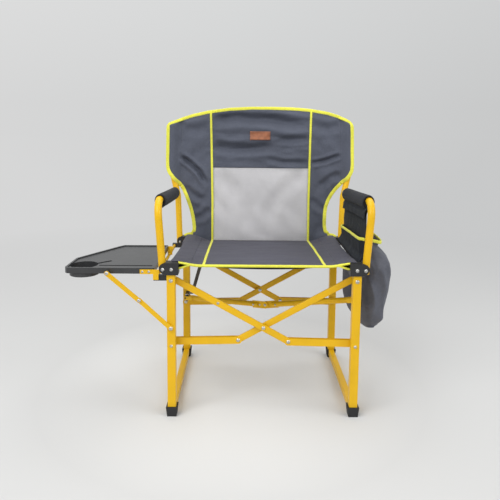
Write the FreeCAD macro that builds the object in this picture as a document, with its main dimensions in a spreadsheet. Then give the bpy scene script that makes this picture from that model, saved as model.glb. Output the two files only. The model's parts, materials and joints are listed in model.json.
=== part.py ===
"""Folding director chair with a drop-down side table and a side organiser, in millimetres.

The chair faces -Y and stands on Z = 0.  The origin is on the floor, under the middle of the chair's
outline, table and bag included.  Places inside this file are first written in the chair's own
coordinates: x from the plane half way between the two side frames, y from the front legs' axis
plane towards the back, z from the floor.  at() moves them to the part's frame.
"""
import FreeCAD, Part
import math
import os
import Sketcher
from FreeCAD import Placement, Rotation, Vector

DIMENSIONS = {
    # where the chair stands in the part's frame
    "chair_x": 93.0,
    "front_y": -244.7,
    # side frames: square legs, round seat rails, flat floor rails
    "leg_spacing": 545.0,
    "frame_depth": 420.0,
    "leg_side": 25.0,
    "leg_wall": 1.5,
    "leg_foot": 4.0,
    "leg_top": 466.0,
    "rear_drop": 11.5,
    "rail_dia": 22.0,
    "rail_inset": 10.5,
    "rail_z": 458.0,
    "floor_rail_width": 20.0,
    "floor_rail_height": 22.0,
    "floor_rail_z": 8.0,
    "foot_side": 28.0,
    "foot_height": 30.0,
    "foot_flare": 6.0,
    # brackets on the leg tops
    "bracket_base": 436.0,
    "bracket_front": 16.5,
    "bracket_back": 14.5,
    # arm tubes, back uprights and arm pads
    "arm_dia": 22.0,
    "arm_wall": 1.5,
    "arm_bend": 48.0,
    "arm_slope": 26.0,
    "pad_dia": 37.0,
    "pad_start": 45.0,
    "pad_length": 335.0,
    "back_lean": 9.6,
    "upright_bend": 60.0,
    # scissor bars and the channel links at their lower ends
    "bar_angle": 29.2,
    "bar_pivot_z": 418.0,
    "bar_height": 20.0,
    "bar_thick": 8.0,
    "bar_tail": 86.5,
    "bar_layer_a": 19.0,
    "bar_layer_b": 30.0,
    "folded_spacing": 130.0,
    "link_width": 11.6,
    "link_wall": 1.5,
    "link_height": 22.0,
    "pin_dia": 6.0,
    "hole_play": 0.1,
    # diagonal lock brace
    "brace_dia": 18.0,
    "brace_sag": 22.0,
    "brace_eye": 16.0,
    "tongue_reach": 10.0,
    "tongue_length": 47.0,
    "tongue_height": 24.0,
    "tongue_thick": 3.0,
    "swivel_dia": 13.0,
    "swivel_height": 15.0,
    "clevis_wall": 3.0,
    "fork_gap": 16.4,
    "clevis_width": 10.0,
    # side table and its two-piece stay
    "table_thick": 17.0,
    "table_floor": 5.0,
    "table_rim": 6.0,
    "table_rise": 13.0,
    "cup_dia": 80.0,
    "cup_wall": 3.0,
    "cup_drop": 13.0,
    "slot_width": 9.0,
    "slot_length": 158.0,
    "rod_dia": 10.0,
    "strap_thick": 3.0,
    "stay_width": 13.0,
    "stay_thick": 3.0,
    # soft parts
    "seat_thick": 10.0,
    "seat_z": 452.0,
    "back_thick": 8.0,
    "panel_thick": 6.0,
    "bag_width": 92.0,
}

doc = FreeCAD.newDocument("director_chair")
sheet = doc.addObject("Spreadsheet::Sheet", "Dims")
for row, (alias, value) in enumerate(DIMENSIONS.items(), start=1):
    sheet.set(f"A{row}", alias)
    sheet.set(f"B{row}", str(value))
    sheet.setAlias(f"B{row}", alias)
doc.recompute()

SUB_PARTS = []


# ---------------------------------------------------------------- places and directions

def dim(alias):
    """A driving dimension's value, as the sheet holds it."""
    return float(getattr(sheet, alias))


def at(x, y, z):
    """A place in the part's frame, from the chair's own coordinates."""
    return Vector(x + dim("chair_x"), y + dim("front_y"), z)


def in_front_view(degrees):
    """Turns local +X to a direction seen from the front, counted anticlockwise from +X."""
    return Rotation(Vector(0, 1, 0), -degrees)


def in_front_view_left(degrees):
    """Turns local +X towards -X and up by the angle, and keeps local +Z on the upper side."""
    return Rotation(Vector(0, 1, 0), degrees) * Rotation(Vector(0, 0, 1), 180)


def along(azimuth, elevation):
    """Turns local +X to an azimuth about Z and an elevation above the floor."""
    return Rotation(Vector(0, 0, 1), azimuth) * Rotation(Vector(0, 1, 0), -elevation)


# ---------------------------------------------------------------- building blocks

def finish(obj, name, place, turn=Rotation()):
    """Names a sub-part and puts it in place."""
    obj.Label = name
    obj.Placement = Placement(place, turn)
    SUB_PARTS.append(obj)
    return obj


def new_body(name):
    return doc.addObject("PartDesign::Body", name + "_body")


def new_sketch(body, role):
    """An empty sketch on one of the body's own origin planes."""
    sketch = body.newObject("Sketcher::SketchObject", body.Name + "_sketch")
    plane = next(f for f in body.Origin.OriginFeatures if f.Role == role)
    sketch.AttachmentSupport = [(plane, "")]
    sketch.MapMode = "FlatFace"
    return sketch


def constrain(sketch, name, expression, *constraint):
    """Adds a named dimension to a sketch and binds it to the sheet."""
    index = sketch.addConstraint(Sketcher.Constraint(*constraint))
    sketch.renameConstraint(index, name)
    sketch.setExpression(f"Constraints.{name}", expression)


def add_rectangle(sketch, width, depth, tag="outer"):
    """A rectangle centred on the sketch's origin; width and depth are expressions."""
    first = sketch.GeometryCount
    corners = [Vector(-5, -5, 0), Vector(5, -5, 0), Vector(5, 5, 0), Vector(-5, 5, 0)]
    for i, corner in enumerate(corners):
        sketch.addGeometry(Part.LineSegment(corner, corners[(i + 1) % 4]))
    for i in range(4):
        sketch.addConstraint(Sketcher.Constraint("Coincident", first + i, 2, first + (i + 1) % 4, 1))
    for i in (0, 2):
        sketch.addConstraint(Sketcher.Constraint("Horizontal", first + i))
        sketch.addConstraint(Sketcher.Constraint("Vertical", first + i + 1))
    sketch.addConstraint(Sketcher.Constraint("Symmetric", first, 1, first + 2, 1, -1, 1))
    constrain(sketch, tag + "_width", width, "DistanceX", first, 1, first, 2, 10)
    constrain(sketch, tag + "_depth", depth, "DistanceY", first + 1, 1, first + 1, 2, 10)


def add_circle(sketch, radius, tag, x="0", y="0"):
    """A circle whose radius and centre are expressions."""
    index = sketch.addGeometry(Part.Circle(Vector(1, 1, 0), Vector(0, 0, 1), 3))
    constrain(sketch, tag + "_r", radius, "Radius", index, 3)
    if x == "0" and y == "0":
        sketch.addConstraint(Sketcher.Constraint("Coincident", index, 3, -1, 1))
        return
    constrain(sketch, tag + "_x", x, "DistanceX", -1, 1, index, 3, 1)
    constrain(sketch, tag + "_y", y, "DistanceY", -1, 1, index, 3, 1)


def add_outline(sketch, points):
    """A closed outline of straight runs through the points."""
    first = sketch.GeometryCount
    count = len(points)
    for i, (x, y) in enumerate(points):
        nxt = points[(i + 1) % count]
        sketch.addGeometry(Part.LineSegment(Vector(x, y, 0), Vector(nxt[0], nxt[1], 0)))
    for i in range(count):
        sketch.addConstraint(Sketcher.Constraint("Coincident", first + i, 2, first + (i + 1) % count, 1))


def add_round_bar(sketch, length, radius):
    """A bar with round ends, from the origin along the sketch's X; both sizes are expressions."""
    top = sketch.addGeometry(Part.LineSegment(Vector(0, 5, 0), Vector(50, 5, 0)))
    far = sketch.addGeometry(Part.ArcOfCircle(
        Part.Circle(Vector(50, 0, 0), Vector(0, 0, 1), 5), -math.pi / 2, math.pi / 2))
    low = sketch.addGeometry(Part.LineSegment(Vector(0, -5, 0), Vector(50, -5, 0)))
    near = sketch.addGeometry(Part.ArcOfCircle(
        Part.Circle(Vector(0, 0, 0), Vector(0, 0, 1), 5), math.pi / 2, 3 * math.pi / 2))
    joins = ((top, 2, far, 2), (low, 2, far, 1), (top, 1, near, 1), (low, 1, near, 2))
    for line, line_end, arc, arc_end in joins:
        sketch.addConstraint(Sketcher.Constraint("Tangent", line, line_end, arc, arc_end))
    sketch.addConstraint(Sketcher.Constraint("Coincident", near, 3, -1, 1))
    sketch.addConstraint(Sketcher.Constraint("PointOnObject", far, 3, -1))
    sketch.addConstraint(Sketcher.Constraint("Equal", near, far))
    constrain(sketch, "bar_length", length, "DistanceX", near, 3, far, 3, 50)
    constrain(sketch, "end_radius", radius, "Radius", near, 5)


def pad(body, sketch, length, symmetric=False, reverse=False):
    feature = body.newObject("PartDesign::Pad", body.Name + "_pad")
    feature.Profile = sketch
    feature.setExpression("Length", length)
    feature.SideType = "Symmetric" if symmetric else "One side"
    feature.Reversed = reverse
    return feature


def pocket(body, sketch, depth=None, symmetric=False, reverse=False):
    """A cut to an expression's depth, or through everything both ways where there is none."""
    feature = body.newObject("PartDesign::Pocket", body.Name + "_pocket")
    feature.Profile = sketch
    if depth is None:
        feature.SideType = "Symmetric"
        feature.Type = "ThroughAll"
    else:
        feature.SideType = "Symmetric" if symmetric else "One side"
        feature.setExpression("Length", depth)
        feature.Reversed = reverse
    return feature


def round_edges(body, base, radius, chosen):
    """Fillets the edges of a feature that chosen() picks."""
    doc.recompute()
    names = [f"Edge{i}" for i, edge in enumerate(base.Shape.Edges, start=1) if chosen(edge)]
    feature = body.newObject("PartDesign::Fillet", body.Name + "_fillet")
    feature.Base = (base, names)
    feature.Radius = radius
    return feature


def runs_along(axis):
    """Picks the straight edges that run along one axis of the body."""
    direction = {"X": Vector(1, 0, 0), "Y": Vector(0, 1, 0), "Z": Vector(0, 0, 1)}[axis]

    def chosen(edge):
        if len(edge.Vertexes) != 2 or not isinstance(edge.Curve, Part.Line):
            return False
        return abs(edge.Curve.Direction.dot(direction)) > 0.999
    return chosen


def square_tube(name, width, depth, length, wall):
    """A straight hollow tube of rectangular section along local Z."""
    body = new_body(name)
    section = new_sketch(body, "XY_Plane")
    add_rectangle(section, width, depth)
    tube = pad(body, section, length)
    tube = round_edges(body, tube, 2.5, runs_along("Z"))
    bore = new_sketch(body, "XY_Plane")
    add_rectangle(bore, f"{width} - 2 * {wall}", f"{depth} - 2 * {wall}", "bore")
    pocket(body, bore)
    return body


def bent_tube(name, runs, turns, bend, diameter, wall):
    """A round tube that starts along local Z and turns in the local XZ plane.

    runs are the lengths between corners and turns the angles at the corners, in degrees towards
    local +X.
    """
    body = new_body(name)
    route = new_sketch(body, "XZ_Plane")
    place, heading = Vector(0, 0, 0), 90.0
    inset_before = 0.0
    for i, run in enumerate(runs):
        inset_after = bend * math.tan(math.radians(abs(turns[i])) / 2) if i < len(turns) else 0.0
        ahead = Vector(math.cos(math.radians(heading)), math.sin(math.radians(heading)), 0)
        end = place + ahead * (run - inset_before - inset_after)
        route.addGeometry(Part.LineSegment(place, end))
        if i < len(turns):
            side = -1 if turns[i] > 0 else 1
            inward = Vector(-ahead.y, ahead.x, 0) * side
            centre = end + inward * bend
            start_angle = math.degrees(math.atan2(-inward.y, -inward.x))
            sweep = -turns[i]
            angles = sorted((start_angle, start_angle + sweep))
            circle = Part.Circle(centre, Vector(0, 0, 1), bend)
            route.addGeometry(Part.ArcOfCircle(circle, math.radians(angles[0]), math.radians(angles[1])))
            heading += sweep
            last = math.radians(start_angle + sweep)
            end = centre + Vector(math.cos(last), math.sin(last), 0) * bend
        place, inset_before = end, inset_after
    section = new_sketch(body, "XY_Plane")
    add_circle(section, f"{diameter} / 2", "outside")
    add_circle(section, f"{diameter} / 2 - {wall}", "inside")
    pipe = body.newObject("PartDesign::AdditivePipe", body.Name + "_pipe")
    pipe.Profile = section
    pipe.Spine = (route, [f"Edge{i + 1}" for i in range(len(runs) + len(turns))])
    return body


def cylinder(name, radius, length, place, axis):
    """A Part cylinder from a place along an axis; radius and length are expressions."""
    shape = doc.addObject("Part::Cylinder", name)
    shape.setExpression("Radius", radius)
    shape.setExpression("Height", length)
    shape.Placement = Placement(place, Rotation(Vector(0, 0, 1), axis))
    return shape


def dome(name, radius, height, place, axis):
    """A rivet or bolt head: a low cone that stands on a face and points along the axis."""
    head = doc.addObject("Part::Cone", name)
    head.Radius1 = radius
    head.Radius2 = 0.62 * radius
    head.Height = height
    head.Placement = Placement(place, Rotation(Vector(0, 0, 1), axis))
    return head


def box(name, size, corner):
    """A Part box of three expressions or numbers from its lowest corner."""
    shape = doc.addObject("Part::Box", name)
    for prop, value in zip(("Length", "Width", "Height"), size):
        shape.setExpression(prop, str(value))
    shape.Placement = Placement(corner, Rotation())
    return shape


def fuse(name, shapes):
    joined = doc.addObject("Part::MultiFuse", name)
    joined.Shapes = shapes
    return joined


def cut(name, base, tool):
    result = doc.addObject("Part::Cut", name)
    result.Base = base
    result.Tool = tool
    return result


def group(name, shapes, place=Vector(), turn=Rotation()):
    """Separate solids that one node holds, such as a set of equal fasteners."""
    compound = doc.addObject("Part::Compound", name + "_group")
    compound.Links = shapes
    return finish(compound, name, place, turn)


def start_place(axis, distance):
    """The place at a distance along an axis, given as (origin, unit direction)."""
    return axis[0] + axis[1] * distance


def bolt(name, start, end, axis, shoulders=()):
    """A headed pin from one outer face to another; shoulders are (from, to, radius) along it."""
    length = end - start
    pieces = [
        cylinder(name + "_shank", "Dims.pin_dia / 2", str(length), start_place(axis, start), axis[1]),
        dome(name + "_head", HEAD_RADIUS, HEAD_HEIGHT, start_place(axis, start), axis[1] * -1),
        dome(name + "_nut", HEAD_RADIUS, HEAD_HEIGHT, start_place(axis, end), axis[1]),
    ]
    for i, (low, high, radius) in enumerate(shoulders):
        place = start_place(axis, low)
        pieces.append(cylinder(f"{name}_shoulder{i}", str(radius), str(high - low), place, axis[1]))
    return fuse(name, pieces)


HEAD_RADIUS = 6.0
HEAD_HEIGHT = 2.4
FIT = "Dims.pin_dia / 2 + Dims.hole_play"

# ---------------------------------------------------------------- the fold's geometry

half = dim("leg_spacing") / 2
depth = dim("frame_depth")
leg_half = dim("leg_side") / 2
bar_angle = math.radians(dim("bar_angle"))
bar_upper = half / math.cos(bar_angle)
bar_lower = dim("bar_tail")
bar_length = bar_upper + bar_lower
pivot_z = dim("bar_pivot_z")
folded_angle = math.acos(dim("folded_spacing") / 2 / bar_upper)
bar_end_x = bar_length * math.cos(bar_angle) - half
bar_end_z = pivot_z - bar_length * math.sin(bar_angle)
# the leg pivot's height is the one that gives the link the same length open and folded
link_drop = (2 * bar_upper * bar_lower / bar_length) * (math.sin(bar_angle) + math.sin(folded_angle))
link_pivot_z = pivot_z - link_drop
link_length = math.hypot(half - bar_end_x, link_pivot_z - bar_end_z)
link_angle = math.degrees(math.atan2(link_pivot_z - bar_end_z, half - bar_end_x))

BRACKET_RIVET_Z = 452.0
LEG_GAP_FACE = leg_half + 0.5
STAY_PIVOT = (-272.5, 276.5)
STAY_LOWER_Y = -17.0
TABLE_HINGE = (-316.0, 425.0)
STAY_TOP = (-456.0, 442.0)
STAY_SAG = 2.0

# the arm tubes and back uprights, as corners for the right side
UPRIGHT_LEAN = math.tan(math.radians(dim("back_lean")))
ARM_CORNERS = [(297.1, 0, 440), (311, -3, 652), (310.4, 438, 652 - dim("arm_slope"))]
UPRIGHT_CORNERS = [
    (x, depth + (z - 440) * UPRIGHT_LEAN, z)
    for x, z in ((297.1, 435.5), (306, 606), (327, 688), (326, 866))]


def layer(row, distance):
    """A distance behind the front legs' axis plane, or the same before the rear legs'."""
    return distance if row == "front" else depth - distance


# ---------------------------------------------------------------- side frames

def build_leg(side, row):
    """A square leg with holes for the scissor pivot, and on one leg for the table stay."""
    name = f"{side}_{row}_leg"
    sign = -1 if side == "left" else 1
    length = "Dims.leg_top - Dims.leg_foot" + ("" if row == "front" else " - Dims.rear_drop")
    body = square_tube(name, "Dims.leg_side", "Dims.leg_side", length, "Dims.leg_wall")
    holes = new_sketch(body, "XZ_Plane")
    add_circle(holes, FIT, "pivot", "0", "Dims.bar_pivot_z - Dims.leg_foot")
    if name == "left_front_leg":
        add_circle(holes, FIT, "stay", "0", f"{STAY_PIVOT[1]} - Dims.leg_foot")
    pocket(body, holes)
    finish(body, name, at(sign * half, layer(row, 0), dim("leg_foot")))


def build_foot(side, row):
    """A rubber cap that closes the leg's lower end, notched for the floor rail."""
    name = f"{side}_{row}_foot"
    sign = -1 if side == "left" else 1
    body = new_body(name)
    section = new_sketch(body, "XY_Plane")
    add_rectangle(section, "Dims.foot_side", "Dims.foot_side")
    block = pad(body, section, "Dims.foot_height")
    block.TaperAngle = dim("foot_flare")
    socket = new_sketch(body, "XY_Plane")
    socket.AttachmentOffset = Placement(Vector(0, 0, dim("leg_foot")), Rotation())
    add_rectangle(socket, "Dims.leg_side", "Dims.leg_side", "socket")
    pocket(body, socket, "Dims.foot_height - Dims.leg_foot", reverse=True)
    notch = new_sketch(body, "XY_Plane")
    notch.AttachmentOffset = Placement(Vector(0, 0, dim("floor_rail_z")), Rotation())
    side_y = dim("foot_side") if row == "front" else -dim("foot_side")
    width = dim("floor_rail_width") / 2
    add_outline(notch, [(-width, 0), (width, 0), (width, side_y), (-width, side_y)])
    pocket(body, notch, "Dims.floor_rail_height", reverse=True)
    finish(body, name, at(sign * half, layer(row, 0), 0))


# a bracket in front view, outwards and up from its leg's axis: a clamp with a round lobe outside
BRACKET_OUTLINE = {
    "front": [
        (-22.5, 0), (12.5, 0), (23, 3.5), (30, 9), (33.5, 17), (33, 25), (28, 31.5), (17, 36), (-22.5, 36)],
    "rear": [
        (-22.5, 0), (12.4, 0), (12.4, 8.7), (28, 8.7), (33.5, 15), (33, 25), (28, 31.5), (17, 36),
        (-22.5, 36)]}
SEAT_SLOPE = math.degrees(math.atan(dim("rear_drop") / depth))


def drop(row):
    """How much lower the seat's parts are at this row of legs."""
    return 0.0 if row == "front" else dim("rear_drop")


def build_bracket(side, row):
    """A moulded clamp over a leg's top, which also holds the seat rail, the arm and the rivets."""
    name = f"{side}_{row}_bracket"
    sign = -1 if side == "left" else 1
    base = dim("bracket_base") - drop(row)
    front = dim("bracket_front")
    low_y = -front if row == "front" else -dim("bracket_back")
    body = new_body(name)
    outline = new_sketch(body, "XZ_Plane")
    outline.AttachmentOffset = Placement(Vector(0, 0, -low_y), Rotation())
    corners = [(sign * x, z) for x, z in BRACKET_OUTLINE[row]]
    add_outline(outline, corners if side == "right" else list(reversed(corners)))
    block = pad(body, outline, "Dims.bracket_front + Dims.bracket_back", reverse=True)
    round_edges(body, block, 2.5, runs_along("Y"))
    leg_hole = new_sketch(body, "XY_Plane")
    add_rectangle(leg_hole, "Dims.leg_side", "Dims.leg_side", "leg")
    pocket(body, leg_hole, "Dims.leg_top - Dims.bracket_base", reverse=True)
    foot, corner = (ARM_CORNERS if row == "front" else UPRIGHT_CORNERS)[:2]
    heading = Vector(sign * (corner[0] - foot[0]), corner[1] - foot[1], corner[2] - foot[2])
    arm_hole = new_sketch(body, "XY_Plane")
    arm_hole.AttachmentOffset = Placement(
        Vector(sign * (foot[0] - half), foot[1] - layer(row, 0), foot[2] - base),
        Rotation(Vector(0, 0, 1), heading))
    add_circle(arm_hole, "Dims.arm_dia / 2 + 0.3", "arm")
    pocket(body, arm_hole)
    rail_hole = new_sketch(body, "XZ_Plane")
    rail_hole.AttachmentOffset = Placement(Vector(), Rotation(Vector(1, 0, 0), -SEAT_SLOPE))
    rail_x = f"{-sign} * Dims.rail_inset"
    add_circle(rail_hole, "Dims.rail_dia / 2", "rail", rail_x, "Dims.rail_z - Dims.bracket_base")
    pocket(body, rail_hole, "Dims.leg_side", reverse=row == "rear")
    finish(body, name, at(sign * half, layer(row, 0), base))


def build_rails(side):
    """The round seat rail and the flat floor rail that join a side frame's two legs."""
    sign = -1 if side == "left" else 1
    body = new_body(f"{side}_seat_rail")
    section = new_sketch(body, "XY_Plane")
    add_circle(section, "Dims.rail_dia / 2", "outside")
    add_circle(section, "Dims.rail_dia / 2 - Dims.arm_wall", "inside")
    pad(body, section, "Dims.frame_depth - Dims.leg_side - 1")
    sloping_back = Rotation(Vector(1, 0, 0), -90 - SEAT_SLOPE)
    rail_x = sign * (half - dim("rail_inset"))
    start_z = dim("rail_z") - dim("rear_drop") * (leg_half + 0.5) / depth
    finish(body, f"{side}_seat_rail", at(rail_x, leg_half + 0.5, start_z), sloping_back)
    floor = square_tube(
        f"{side}_floor_rail", "Dims.floor_rail_width", "Dims.floor_rail_height",
        "Dims.frame_depth - Dims.leg_side", "Dims.leg_wall")
    floor_z = dim("floor_rail_z") + dim("floor_rail_height") / 2
    towards_back = Rotation(Vector(1, 0, 0), -90)
    finish(floor, f"{side}_floor_rail", at(sign * half, leg_half, floor_z), towards_back)


def frame_from(first, second, third):
    """The rotation whose local Z runs first to second, with third on the local +X side."""
    up = (second - first).normalize()
    side = third - second
    outward = (side - up * side.dot(up)).normalize()
    return Rotation(outward, Vector(), up, "ZXY")


def route_turns(points):
    """The runs and the signed turns of a planar route, first turn positive."""
    runs = [points[i + 1] - points[i] for i in range(len(points) - 1)]
    normal = runs[0].cross(runs[1])
    turns = []
    for before, after in zip(runs, runs[1:]):
        angle = math.degrees(before.getAngle(after))
        turns.append(angle if before.cross(after).dot(normal) > 0 else -angle)
    return [run.Length for run in runs], turns


def build_arm(side):
    """An arm tube, its fabric pad and the upright of the back rest."""
    sign = -1 if side == "left" else 1
    foot, elbow, end = [at(sign * x, y, z) for x, y, z in ARM_CORNERS]
    runs, turns = route_turns([foot, elbow, end])
    tube = bent_tube(f"{side}_arm_tube", runs, turns, dim("arm_bend"), "Dims.arm_dia", "Dims.arm_wall")
    finish(tube, f"{side}_arm_tube", foot, frame_from(foot, elbow, end))
    rest = (end - elbow).normalize()
    body = new_body(f"{side}_arm_pad")
    section = new_sketch(body, "XY_Plane")
    add_circle(section, "Dims.pad_dia / 2", "outside")
    add_circle(section, "Dims.arm_dia / 2 + 0.4", "inside")
    pad(body, section, "Dims.pad_length")
    finish(body, f"{side}_arm_pad", elbow + rest * dim("pad_start"), Rotation(Vector(0, 0, 1), rest))
    points = [at(sign * x, y, z) for x, y, z in UPRIGHT_CORNERS]
    runs, turns = route_turns(points)
    post = bent_tube(
        f"{side}_back_upright", runs, turns, dim("upright_bend"), "Dims.arm_dia", "Dims.arm_wall")
    finish(post, f"{side}_back_upright", points[0], frame_from(*points[:3]))


def build_frame_bolts(side):
    """The scissor pivot bolts and the rivet heads on a side frame's legs and brackets."""
    sign = -1 if side == "left" else 1
    bar_layer = dim("bar_layer_a") if side == "left" else dim("bar_layer_b")
    bar_half = dim("bar_thick") / 2
    pieces = []
    for row in ("front", "rear"):
        facing = Vector(0, -1 if row == "front" else 1, 0)
        y = layer(row, 0)
        axis = (at(sign * half, y, pivot_z), facing * -1)
        name = f"{side}_{row}_pivot"
        shoulder = (leg_half, bar_layer - bar_half - 0.2, 5.0)
        pieces.append(bolt(name, -leg_half, bar_layer + bar_half + 0.2, axis, [shoulder]))
        face = facing * leg_half
        pieces.append(dome(
            f"{side}_{row}_link_rivet", 5.0, HEAD_HEIGHT,
            at(sign * half, y, link_pivot_z) + face, facing))
        for tag, x in (("inner", 270.5), ("outer", 295.5)):
            middle = at(sign * x, y, BRACKET_RIVET_Z - drop(row))
            pieces.append(dome(
                f"{side}_{row}_{tag}_rivet", 5.5, HEAD_HEIGHT,
                middle + facing * dim("bracket_front"), facing))
            if (row, tag) == ("rear", "outer"):
                pieces.append(dome(
                    f"{side}_rear_rivet_tail", 4.5, HEAD_HEIGHT,
                    middle - facing * dim("bracket_back"), facing * -1))
    group(f"{side}_frame_bolts", pieces)


for side in ("left", "right"):
    for row in ("front", "rear"):
        build_leg(side, row)
        build_foot(side, row)
        build_bracket(side, row)
    build_rails(side)
    build_arm(side)
    build_frame_bolts(side)


# ---------------------------------------------------------------- scissor bars and links

def build_bar(row, letter):
    """A scissor bar with its leg pivot at the local origin, its crossing hole and its link hole."""
    name = f"{row}_bar_{letter}"
    body = new_body(name)
    outline = new_sketch(body, "XZ_Plane")
    add_round_bar(outline, str(bar_length), "Dims.bar_height / 2")
    bar = pad(body, outline, "Dims.bar_thick", symmetric=True)
    round_edges(body, bar, 2.5, lambda edge: abs(edge.CenterOfMass.y) > 3.9)
    holes = new_sketch(body, "XZ_Plane")
    for tag, x in (("leg", 0.0), ("crossing", bar_upper), ("link", bar_length)):
        add_circle(holes, FIT, tag, str(x), "0")
    pocket(body, holes)
    sign = -1 if letter == "a" else 1
    y = layer(row, dim(f"bar_layer_{letter}"))
    angle = -dim("bar_angle") if letter == "a" else 180 + dim("bar_angle")
    finish(body, name, at(sign * half, y, pivot_z), in_front_view(angle))


def build_link(row, side):
    """A channel, open upwards, from a bar's lower end to the leg's lower pivot."""
    name = f"{row}_link_{side}"
    body = new_body(name)
    outline = new_sketch(body, "XZ_Plane")
    add_round_bar(outline, str(link_length), "Dims.link_height / 2")
    pad(body, outline, "Dims.link_width", symmetric=True)
    inside = new_sketch(body, "XY_Plane")
    web_top = -dim("bar_height") / 2 - 0.2
    inside.AttachmentOffset = Placement(Vector(0, 0, web_top), Rotation())
    inner_half = dim("link_width") / 2 - dim("link_wall")
    reach = dim("link_height")
    add_outline(inside, [
        (-reach, -inner_half), (link_length + reach, -inner_half),
        (link_length + reach, inner_half), (-reach, inner_half)])
    pocket(body, inside, "2 * Dims.link_height", reverse=True)
    holes = new_sketch(body, "XZ_Plane")
    for tag, x in (("bar", 0.0), ("leg", link_length)):
        add_circle(holes, FIT, tag, str(x), "0")
    pocket(body, holes)
    letter = "a" if side == "right" else "b"
    y = layer(row, dim(f"bar_layer_{letter}"))
    if side == "right":
        finish(body, name, at(bar_end_x, y, bar_end_z), in_front_view(link_angle))
    else:
        finish(body, name, at(-bar_end_x, y, bar_end_z), in_front_view_left(link_angle))


def build_scissor_bolts():
    """Bolts at the crossings, at the links' two ends, and the rivets half way up each bar."""
    bar_half = dim("bar_thick") / 2
    link_half = dim("link_width") / 2
    middle_z = (pivot_z + dim("bar_pivot_z") - bar_upper * math.sin(bar_angle)) / 2
    crossing_z = pivot_z - bar_upper * math.sin(bar_angle)
    layer_a, layer_b = dim("bar_layer_a"), dim("bar_layer_b")
    crossings, bar_ends, leg_ends = [], {"right": [], "left": []}, {"right": [], "left": []}
    for row in ("front", "rear"):
        inward = Vector(0, 1 if row == "front" else -1, 0)
        spacer = (layer_a + bar_half + 0.2, layer_b - bar_half - 0.2, 6.0)
        crossings.append(bolt(
            f"{row}_crossing", layer_a - bar_half - 0.2, layer_b + bar_half + 0.2,
            (at(0, layer(row, 0), crossing_z), inward), [spacer]))
        for side, sign, middle in (("right", 1, layer_a), ("left", -1, layer_b)):
            low, high = middle - link_half - 0.2, middle + link_half + 0.2
            bar_end = (at(sign * bar_end_x, layer(row, 0), bar_end_z), inward)
            bar_ends[side].append(bolt(f"{row}_{side}_bar_end", low, high, bar_end))
            leg_end = (at(sign * half, layer(row, 0), link_pivot_z), inward)
            start = start_place(leg_end, LEG_GAP_FACE)
            shank = cylinder(
                f"{row}_{side}_leg_end_shank", "Dims.pin_dia / 2", str(high - LEG_GAP_FACE),
                start, inward)
            nut = dome(
                f"{row}_{side}_leg_end_nut", HEAD_RADIUS, HEAD_HEIGHT, start_place(leg_end, high), inward)
            pieces = [shank, nut]
            if side == "left":
                pieces.append(cylinder(
                    f"{row}_{side}_leg_end_spacer", "6", str(low - LEG_GAP_FACE), start, inward))
            leg_ends[side].append(fuse(f"{row}_{side}_leg_end", pieces))
    mid_rivets = []
    for row in ("front", "rear"):
        outward = Vector(0, -1 if row == "front" else 1, 0)
        place = at(-half / 2, layer(row, layer_a - bar_half), middle_z)
        mid_rivets.append(dome(f"{row}_mid_rivet", 4.5, 2.0, place, outward))
    group("crossing_bolts", crossings + mid_rivets)
    group("bar_end_bolts_right", bar_ends["right"])
    group("bar_end_bolts_left", bar_ends["left"])
    group("link_end_bolts_right", leg_ends["right"])
    group("link_end_bolts_left", leg_ends["left"])


for row in ("front", "rear"):
    for letter in ("a", "b"):
        build_bar(row, letter)
    for side in ("right", "left"):
        build_link(row, side)
build_scissor_bolts()


# ---------------------------------------------------------------- diagonal lock brace

BRACE_REAR = Vector(-266.0, 366.0, 243.0)
BRACE_FRONT = Vector(286.0, 50.0, 345.0)
FORK_WALL = 2.8


def brace_directions():
    """The azimuth and elevation of each brace half, from its leg to the hinge in the middle."""
    span = BRACE_FRONT - BRACE_REAR
    flat = math.hypot(span.x, span.y)
    azimuth = math.degrees(math.atan2(span.y, span.x))
    slope = math.degrees(math.atan2(span.z, flat))
    droop = math.degrees(math.atan2(dim("brace_sag"), span.Length / 2))
    half_length = math.hypot(span.Length / 2, dim("brace_sag"))
    return half_length, (azimuth, slope - droop), (azimuth + 180, -slope - droop)


brace_half, rear_way, front_way = brace_directions()


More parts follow.
